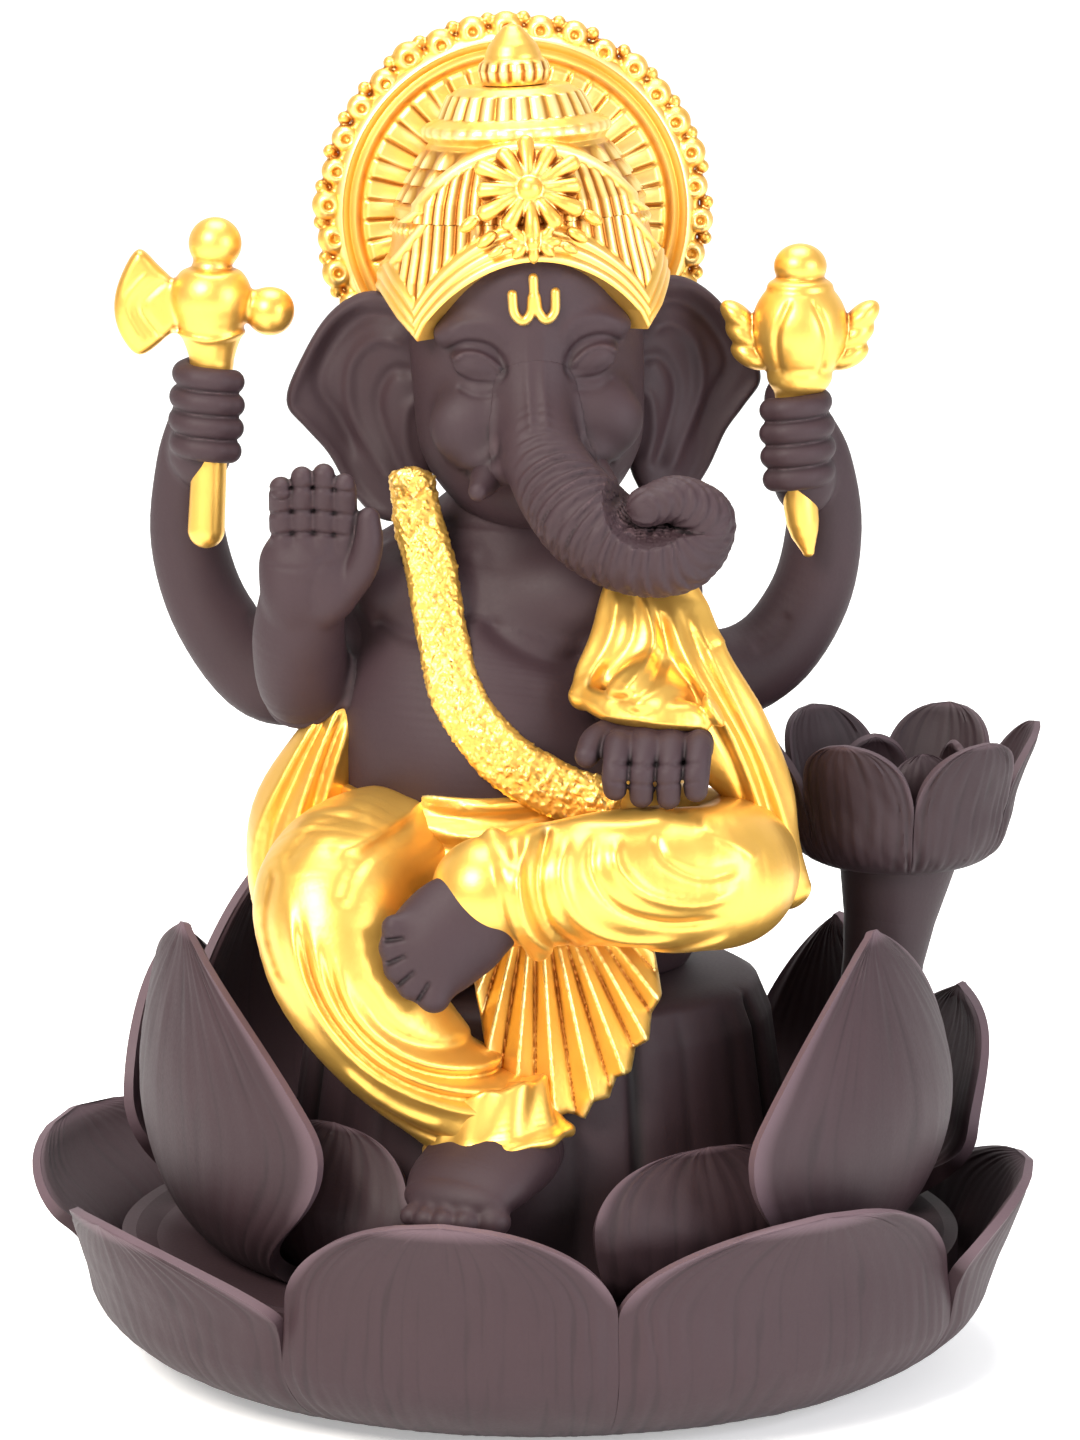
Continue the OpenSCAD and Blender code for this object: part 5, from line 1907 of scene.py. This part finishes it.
@dataclass
class Dress:
    """The gilded cloth: thread sash, shoulder drape, waist wrap, hip gather, both trouser legs,
    the pleated apron and the ankle cuff."""

    sash: Sequence[Point] = (
        (-14.6, -13.2, 71.0, 3.0, 1.4), (-13.8, -14.2, 65.5, 3.4, 1.4), (-12.2, -16.2, 60, 3.5, 1.5),
        (-10.4, -19.2, 50, 3.4, 1.5), (-8.0, -22.6, 42, 3.6, 1.5), (-2.4, -25.2, 35, 3.9, 1.5),
        (5, -26.2, 30.5, 3.9, 1.6), (12.5, -27.6, 28.5, 3.4, 1.6),
    )
    drape: Sequence[Point] = (
        (18, -15, 61.4, 4.6, 2.2), (18.6, -20, 54, 7.8, 2.6), (20.6, -24, 46, 9.2, 2.8),
        (28, -25.4, 38, 6.8, 3.2), (33.2, -24.4, 30, 4.8, 3.4), (34.4, -24.2, 22, 4.6, 3.4),
        (37.6, -24, 15.6, 3.2, 2.4),
    )
    flap: Sequence[Point] = (
        (15.6, -17.4, 59, 2.6, 1.8), (13.4, -20.4, 51, 3.2, 1.8), (10.6, -23.4, 45.6, 3.0, 1.7),
        (8.6, -25.0, 43, 1.8, 1.4),
    )
    drape_hem: Sequence[Point] = (
        (9.0, -25.6, 43.4, 1.6, 1.4), (13, -30.0, 42.4, 2.0, 1.8), (19, -32.6, 41.9, 2.0, 2.0),
        (25.6, -31.4, 41.6, 2.2, 2.2),
    )
    hanging: Sequence[Point] = (
        (-12, -8, 15, 12, 11), (-20, -20, 17.5, 12, 11.4), (-25, -31, 16.5, 11, 11),
        (-24, -36, 8, 11, 10.4), (-17.5, -36, -2, 10.4, 9.4), (-9.5, -36, -10, 8.8, 8),
        (-3, -37, -15.4, 8, 7.4),
    )
    folded: Sequence[Point] = (
        (8, -8, 17, 12, 11), (20, -17, 19, 11.6, 10.6), (29, -25, 19.4, 9.6, 10),
        (27, -33, 19.4, 9.2, 10), (16, -36.6, 20, 8.4, 9.4), (4, -39.6, 19.6, 7.6, 8.2),
        (-4.4, -41.4, 19, 7.4, 7.6),
    )

    folded_hem: Sequence[Point] = (
        (-3.4, -41.0, 26.4, 1.5, 1.5), (-1.4, -47.2, 22.8, 1.6, 1.6), (0.4, -48.0, 16.6, 1.7, 1.7),
        (2.8, -44.0, 11.6, 1.6, 1.6),
    )
    cuff: Sequence[Point] = (
        (-4.4, -37.4, -9.0, 8.4, 7.4), (-3.4, -38, -13.6, 8.8, 7.8), (-2.8, -38.2, -17.0, 10.4, 9.0),
    )

    def sash_form(self) -> Form:
        """Returns the sash, crusted with grit that lies thicker on its edges."""

        def crust(p: Array) -> Array:
            coarse = lumps(p, 3.1, 0.7)
            fine = lumps(p, 1.5, 2.1)
            return 0.22 * np.maximum(coarse, -0.6) + 0.16 * fine

        edges = []
        for shift in (-2.9, 2.9):
            line = [(s[0] + shift * 0.95, s[2] + shift * (0.15 + 0.02 * (60 - s[2]))) for s in self.sash]
            edges.append(Stroke(line, 0.7, 0.4))
        knot = Egg((-14.8, -13.6, 71.4), (3.2, 2.0, 2.2))
        return Chased(Fused([Limb(self.sash), knot], 0.8), edges, crust)

    def drape_form(self) -> Form:
        """Returns the drape: a bunched top, a flap to the left and a long tail over the knee."""
        forms = [
            Limb(self.drape, per=14),
            Limb(self.flap),
            Limb(self.drape_hem),
            Limb([(17, -27, 45.4, 6.4, 3.4), (20, -29.4, 43.8, 6.6, 2.6)], deep=(0, 0, 1)),
        ]
        lines = [
            ([(14, 57.6), (12.4, 50.6), (8.6, 44.4)], 0.8, 0.6),
            ([(17.0, 57.6), (18.6, 50.6), (13.4, 44.6)], 0.7, 0.7),
            ([(15.6, 58), (15.6, 51), (10.8, 45)], 0.7, -0.6),
            ([(20.4, 56.6), (23.4, 48.6), (29.6, 38), (34, 26), (37, 16)], 0.9, 0.8),
            ([(23.8, 54.6), (28.4, 45.6), (34, 34), (38, 22), (39, 15)], 0.8, 0.7),
            ([(22.0, 55.6), (26.0, 46.8), (31.8, 36), (35.8, 24)], 0.8, -0.7),
            ([(18.6, 56), (21, 49), (25.6, 42.0), (30.4, 32), (33, 21)], 0.7, -0.6),
            ([(19.4, 55.0), (20.4, 49.6), (17.4, 45.4), (12, 43.4)], 0.7, -0.5),
            ([(10.4, 41.8), (18, 41.4), (26.4, 40.2)], 0.6, 0.5),
            ([(30.6, 27), (33, 20.6), (36.6, 14.4)], 0.6, 0.5),
        ]
        strokes = [Stroke(points, width, height) for points, width, height in lines]
        return Chased(Fused(forms, 1.4), strokes)

    def waist_form(self) -> Form:
        """Returns the wrap: rolled folds that sag below the belly."""
        ring = [
            (-1, 0.5, 17, 28, 23), (-2, -1.4, 21, 28.2, 23.6), (-2.6, -3, 26, 26.4, 23.4),
            (-3, -3.4, 30.5, 24, 21.4),
        ]
        belly = Limb([(-1, 1, 10, 23, 17.5), (-3, -3, 28, 20, 17.5), (-3.5, -4.5, 38, 19, 17)], flat=True)
        lines = []
        for k in range(5):
            drop = 2.3 * k
            height = 0.75 if k % 2 == 0 else -0.7
            sag = [(x, z - drop) for x, z in ((-28, 34.5), (-18, 30.4), (-6, 28.2), (6, 29.0), (18, 32.4))]
            lines.append(Stroke(sag, 0.85, height, near=-2))
        return Chased(Cut(Limb(ring, flat=True), [belly], soft=0.8), lines)

    def gather_form(self) -> Form:
        """Returns the cloth gathered at the left hip, falling in long folds."""
        stations = [
            (-23.4, -10, 40.5, 2.4, 2.2), (-27.0, -9.8, 33, 5.0, 4.2), (-31.0, -8.4, 23, 6.8, 7.2),
            (-32.4, -9, 13, 5.6, 7.2), (-32.2, -12, 5.6, 3.2, 4),
        ]
        lines = [
            ([(-24.6, 41), (-28.6, 31), (-31.6, 20), (-31.4, 6)], 0.8, 0.8),
            ([(-23.4, 38), (-26.0, 30), (-28.4, 20), (-29.4, 8)], 0.7, 0.7),
            ([(-24.0, 40), (-27.4, 30.6), (-30.0, 20), (-30.4, 7)], 0.7, -0.8),
            ([(-25.6, 40.6), (-30.6, 31), (-34.6, 20), (-34.2, 8)], 0.8, -0.7),
            ([(-26.8, 40), (-32.4, 31), (-37.0, 21), (-36.6, 10)], 0.8, 0.7),
        ]
        strokes = [Stroke(points, width, height, near=4) for points, width, height in lines]
        return Chased(Limb(stations), strokes)

    def hanging_form(self) -> Form:
        """Returns the left leg: a full knee, and folds that swing round under it to the ankle."""
        lines = [
            ([(-31.5, 20), (-29.4, 8), (-22.8, -2.6), (-13, -9.0), (-3, -11.0), (5, -9.4)], 1.0, 0.85),
            ([(-28.4, 16), (-25.4, 5), (-19.0, -3.0), (-10, -7.4), (0, -8.0), (6, -5.0)], 0.9, 0.8),
            ([(-25.0, 12), (-21.8, 3), (-15.4, -2.6), (-8, -4.8), (0, -4.4), (6, -1.0)], 0.9, 0.75),
            ([(-30.0, 18), (-27.4, 6.4), (-20.8, -3.0), (-11.6, -8.2), (-2, -9.6), (5.4, -7.2)], 0.7, -0.7),
            ([(-26.8, 14), (-23.6, 4), (-17.2, -2.9), (-9, -6.2), (0, -6.2), (6, -3.0)], 0.7, -0.7),
            ([(-22.0, 8), (-18.0, 1.4), (-12, -1.8), (-5, -2.4), (2, -0.6)], 0.9, -0.6),
            ([(-24.6, -4.6), (-17.6, -10.4), (-9.6, -13.6)], 0.9, 0.6),
            ([(-20.6, -9.4), (-13.6, -14.0), (-6.6, -15.6)], 0.7, -0.5),
            ([(-33.0, 22), (-34.2, 14), (-31.6, 6)], 0.9, -0.6),
            ([(-20, 27.6), (-27.4, 26.4), (-32.4, 21.6)], 1.0, -0.45),
            ([(-14, 26.6), (-21.4, 22.6), (-24.0, 17.0)], 1.2, -0.5),
            ([(-12, 28.6), (-18.4, 26), (-26, 24.2)], 1.0, 0.5),
        ]
        strokes = [Stroke(points, width, height, near=-14) for points, width, height in lines]
        lobes = [Limb(self.hanging, deep=(1, 0, 0)), Egg((-26.0, -33, 15.4), (9.4, 9.0, 9.4))]
        return Chased(Fused(lobes, 2.5), strokes)

    def folded_form(self) -> Form:
        """Returns the right leg, folded across the lap, with its hem rolled back from the foot."""
        lines = [
            ([(2.0, 28.6), (0.2, 22), (1.6, 15), (5.6, 10.6)], 0.8, 0.8),
            ([(4.4, 28.6), (2.8, 22), (4.2, 15.6), (8.4, 11.0)], 0.7, -0.8),
            ([(7.0, 28.6), (5.8, 22), (8.4, 15.8), (14.4, 12.2), (24, 12.0)], 0.9, 0.75),
            ([(10.4, 28), (10.0, 22.6), (13.6, 17.4), (20.4, 15.0), (29, 15.6)], 0.8, -0.7),
            ([(13.4, 27.6), (13.6, 23.4), (17.4, 19.4), (24, 17.8), (31, 19.4)], 0.9, 0.7),
            ([(18.4, 27.4), (20, 23.8), (25, 21.4), (31, 22.4)], 0.8, -0.5),
            ([(5.4, 11.0), (13, 9.4), (22, 10.0), (30, 12.6)], 0.8, 0.6),
            ([(24, 28.0), (29, 26.0), (33, 23.0)], 0.9, 0.45),
            ([(-2.4, 26.4), (6, 29.0), (15, 28.6), (22, 29.4)], 1.1, 0.5),
        ]
        strokes = [Stroke(points, width, height, near=-16) for points, width, height in lines]
        leg = [Limb(self.folded, deep=(0, 0, 1)), Limb(self.folded_hem, per=5)]
        return Chased(Fused(leg, 1.0), strokes)

    def apron_form(self) -> Form:
        """Returns the apron: a sheet folded into pleats that fan out to a scalloped hem."""
        top, pitch = (2.5, 24.0), 0.15

        def pleats(p: Array) -> Array:
            angle = np.arctan2(p[:, 0] - top[0], top[1] - p[:, 2])
            deep = ease(14, 2, p[:, 2])
            fold = np.abs(((angle / pitch) % 1) - 0.45)
            return -0.19 * (12 - p[:, 2]) + (2.6 * fold - 0.8) * (0.5 + 1.1 * deep)

        # from the waist down the right edge, along the scalloped hem and back
        outline = [
            (-7, 10), (2, 13.5), (10, 13.5), (17, 12.5), (18.8, 9.0), (19.8, 3.2), (18.4, 0.4),
            (18.0, -2.8), (16.2, -4.2), (15.6, -7.2), (13.6, -8.0), (12.6, -11.0), (10.4, -11.2),
            (9.2, -13.8), (6.8, -13.0), (5.0, -13.2), (2.0, -9.4), (-4.0, -7.0),
        ]
        return Slab(outline, -31.6, 2.2, pleats, soft=1.2)

    def cuff_form(self) -> Form:
        """Returns the cuff: a flared, softly creased hem round the ankle."""

        def crease(run: Array, angle: Array, p: Array) -> Array:
            lip = np.exp(-(((run - 7.4) / 0.8) ** 2))
            return 0.5 * (ripple(angle * 9 / (2 * np.pi) + 0.1 * run, 1.0) - 0.5) + 0.6 * lip

        return Limb(self.cuff, relief=crease, flat=True)

    def build(self) -> None:
        """Builds and dresses the cloth."""
        sculpt("thread sash", self.sash_form(), Slot.GRANULAR, 0.28)
        sculpt("shoulder drape", self.drape_form(), Slot.GILDING, 0.32)
        sculpt("waist wrap", self.waist_form(), Slot.GILDING, 0.42)
        sculpt("hip gather", self.gather_form(), Slot.GILDING, 0.36)
        sculpt("hanging leg", self.hanging_form(), Slot.GILDING, 0.36)
        sculpt("folded leg", self.folded_form(), Slot.GILDING, 0.36)
        sculpt("pleated apron", self.apron_form(), Slot.GILDING, 0.32)
        sculpt("ankle cuff", self.cuff_form(), Slot.GILDING, 0.34)


@dataclass
class Feet:
    """The two bare feet: one tucked across the lap, one planted on the inner petals."""

    # x, z and radius of the tucked foot's toes, and x, y and radius of the planted foot's
    tucked_toes: Sequence[Point] = (
        (-16.8, 15.4, 1.7), (-17.1, 12.5, 1.8), (-16.3, 9.6, 1.9), (-14.4, 7.2, 1.9), (-11.4, 5.8, 2.3),
    )
    planted_toes: Sequence[Point] = (
        (-14.6, -49.4, 1.5), (-12.6, -51.2, 1.6), (-10.0, -52.4, 1.75), (-7.0, -52.9, 1.85),
        (-3.2, -52.6, 2.3),
    )
    instep: Sequence[Point] = (
        (-0.4, -33, -18.8, 7, 5.2), (-2.8, -39, -18.2, 9, 6.2), (-6.4, -45, -20.4, 9.2, 5.0),
        (-8.4, -48.4, -22.2, 8.0, 3.6),
    )

    def tucked(self) -> Form:
        """Returns the foot that lies across the lap, with its toes to the lower left."""
        forms: list[Form] = [
            Egg((-8.8, -44.0, 14.2), (9.4, 4.8, 7.4), (0, -38, 0)),
            Egg((-11.6, -45.4, 11.8), (6.6, 4.4, 6.8), (0, -38, 0)),
            Egg((-3.4, -42.6, 17.6), (5.6, 4.8, 6.2)),
        ]
        toes, gaps = self.tucked_toes, []
        for x, z, r in toes:
            reach = (x + 7.6, z - 15.6)
            root = (-7.6 + 0.72 * reach[0], -46.4, 15.6 + 0.72 * reach[1], r, r)
            forms.append(Limb([root, (x, -47.4, z, r, r * 0.95)], per=5))
        for (x0, z0, _), (x1, z1, _) in zip(toes, toes[1:]):
            x, z = (x0 + x1) / 2 + 7.6, (z0 + z1) / 2 - 15.6
            line = [(-7.6 + s * x, 15.6 + s * z) for s in (0.78, 0.95, 1.15)]
            gaps.append(Stroke(line, 0.34, -0.42, fade=0.2))
        return Chased(Fused(forms, 1.3), gaps)

    def planted(self) -> Form:
        """Returns the planted foot, pointing down to the lower left, with five spread toes."""
        forms: list[Form] = [Limb(self.instep, deep=(0, 0, 1))]
        for x, y, r in self.planted_toes:
            root = (-6.6 + 0.55 * (x + 6.6), -45.6, -22.0, r, r)
            forms.append(Limb([root, (x, y, -24.2, r, r * 0.92)], deep=(0, 0, 1), per=5))
        return Fused(forms, 0.9)

    def build(self) -> None:
        """Builds and dresses both feet."""
        sculpt("tucked foot", self.tucked(), Slot.FIGURE, 0.3)
        sculpt("planted foot", self.planted(), Slot.FIGURE, 0.3)


def main() -> None:
    """Builds everything in the order in which a potter would put it together."""
    logging.basicConfig(level=logging.INFO, format="%(name)s: %(message)s")
    Studio().build()
    for assembly in (
        LotusBase(), IncenseBowl(), Body(), Dress(), Feet(), Emblems(), Head(), Crown(), Halo()
    ):
        LOG.info("building %s", type(assembly).__name__)
        assembly.build()


if __name__ == "__main__":
    main()
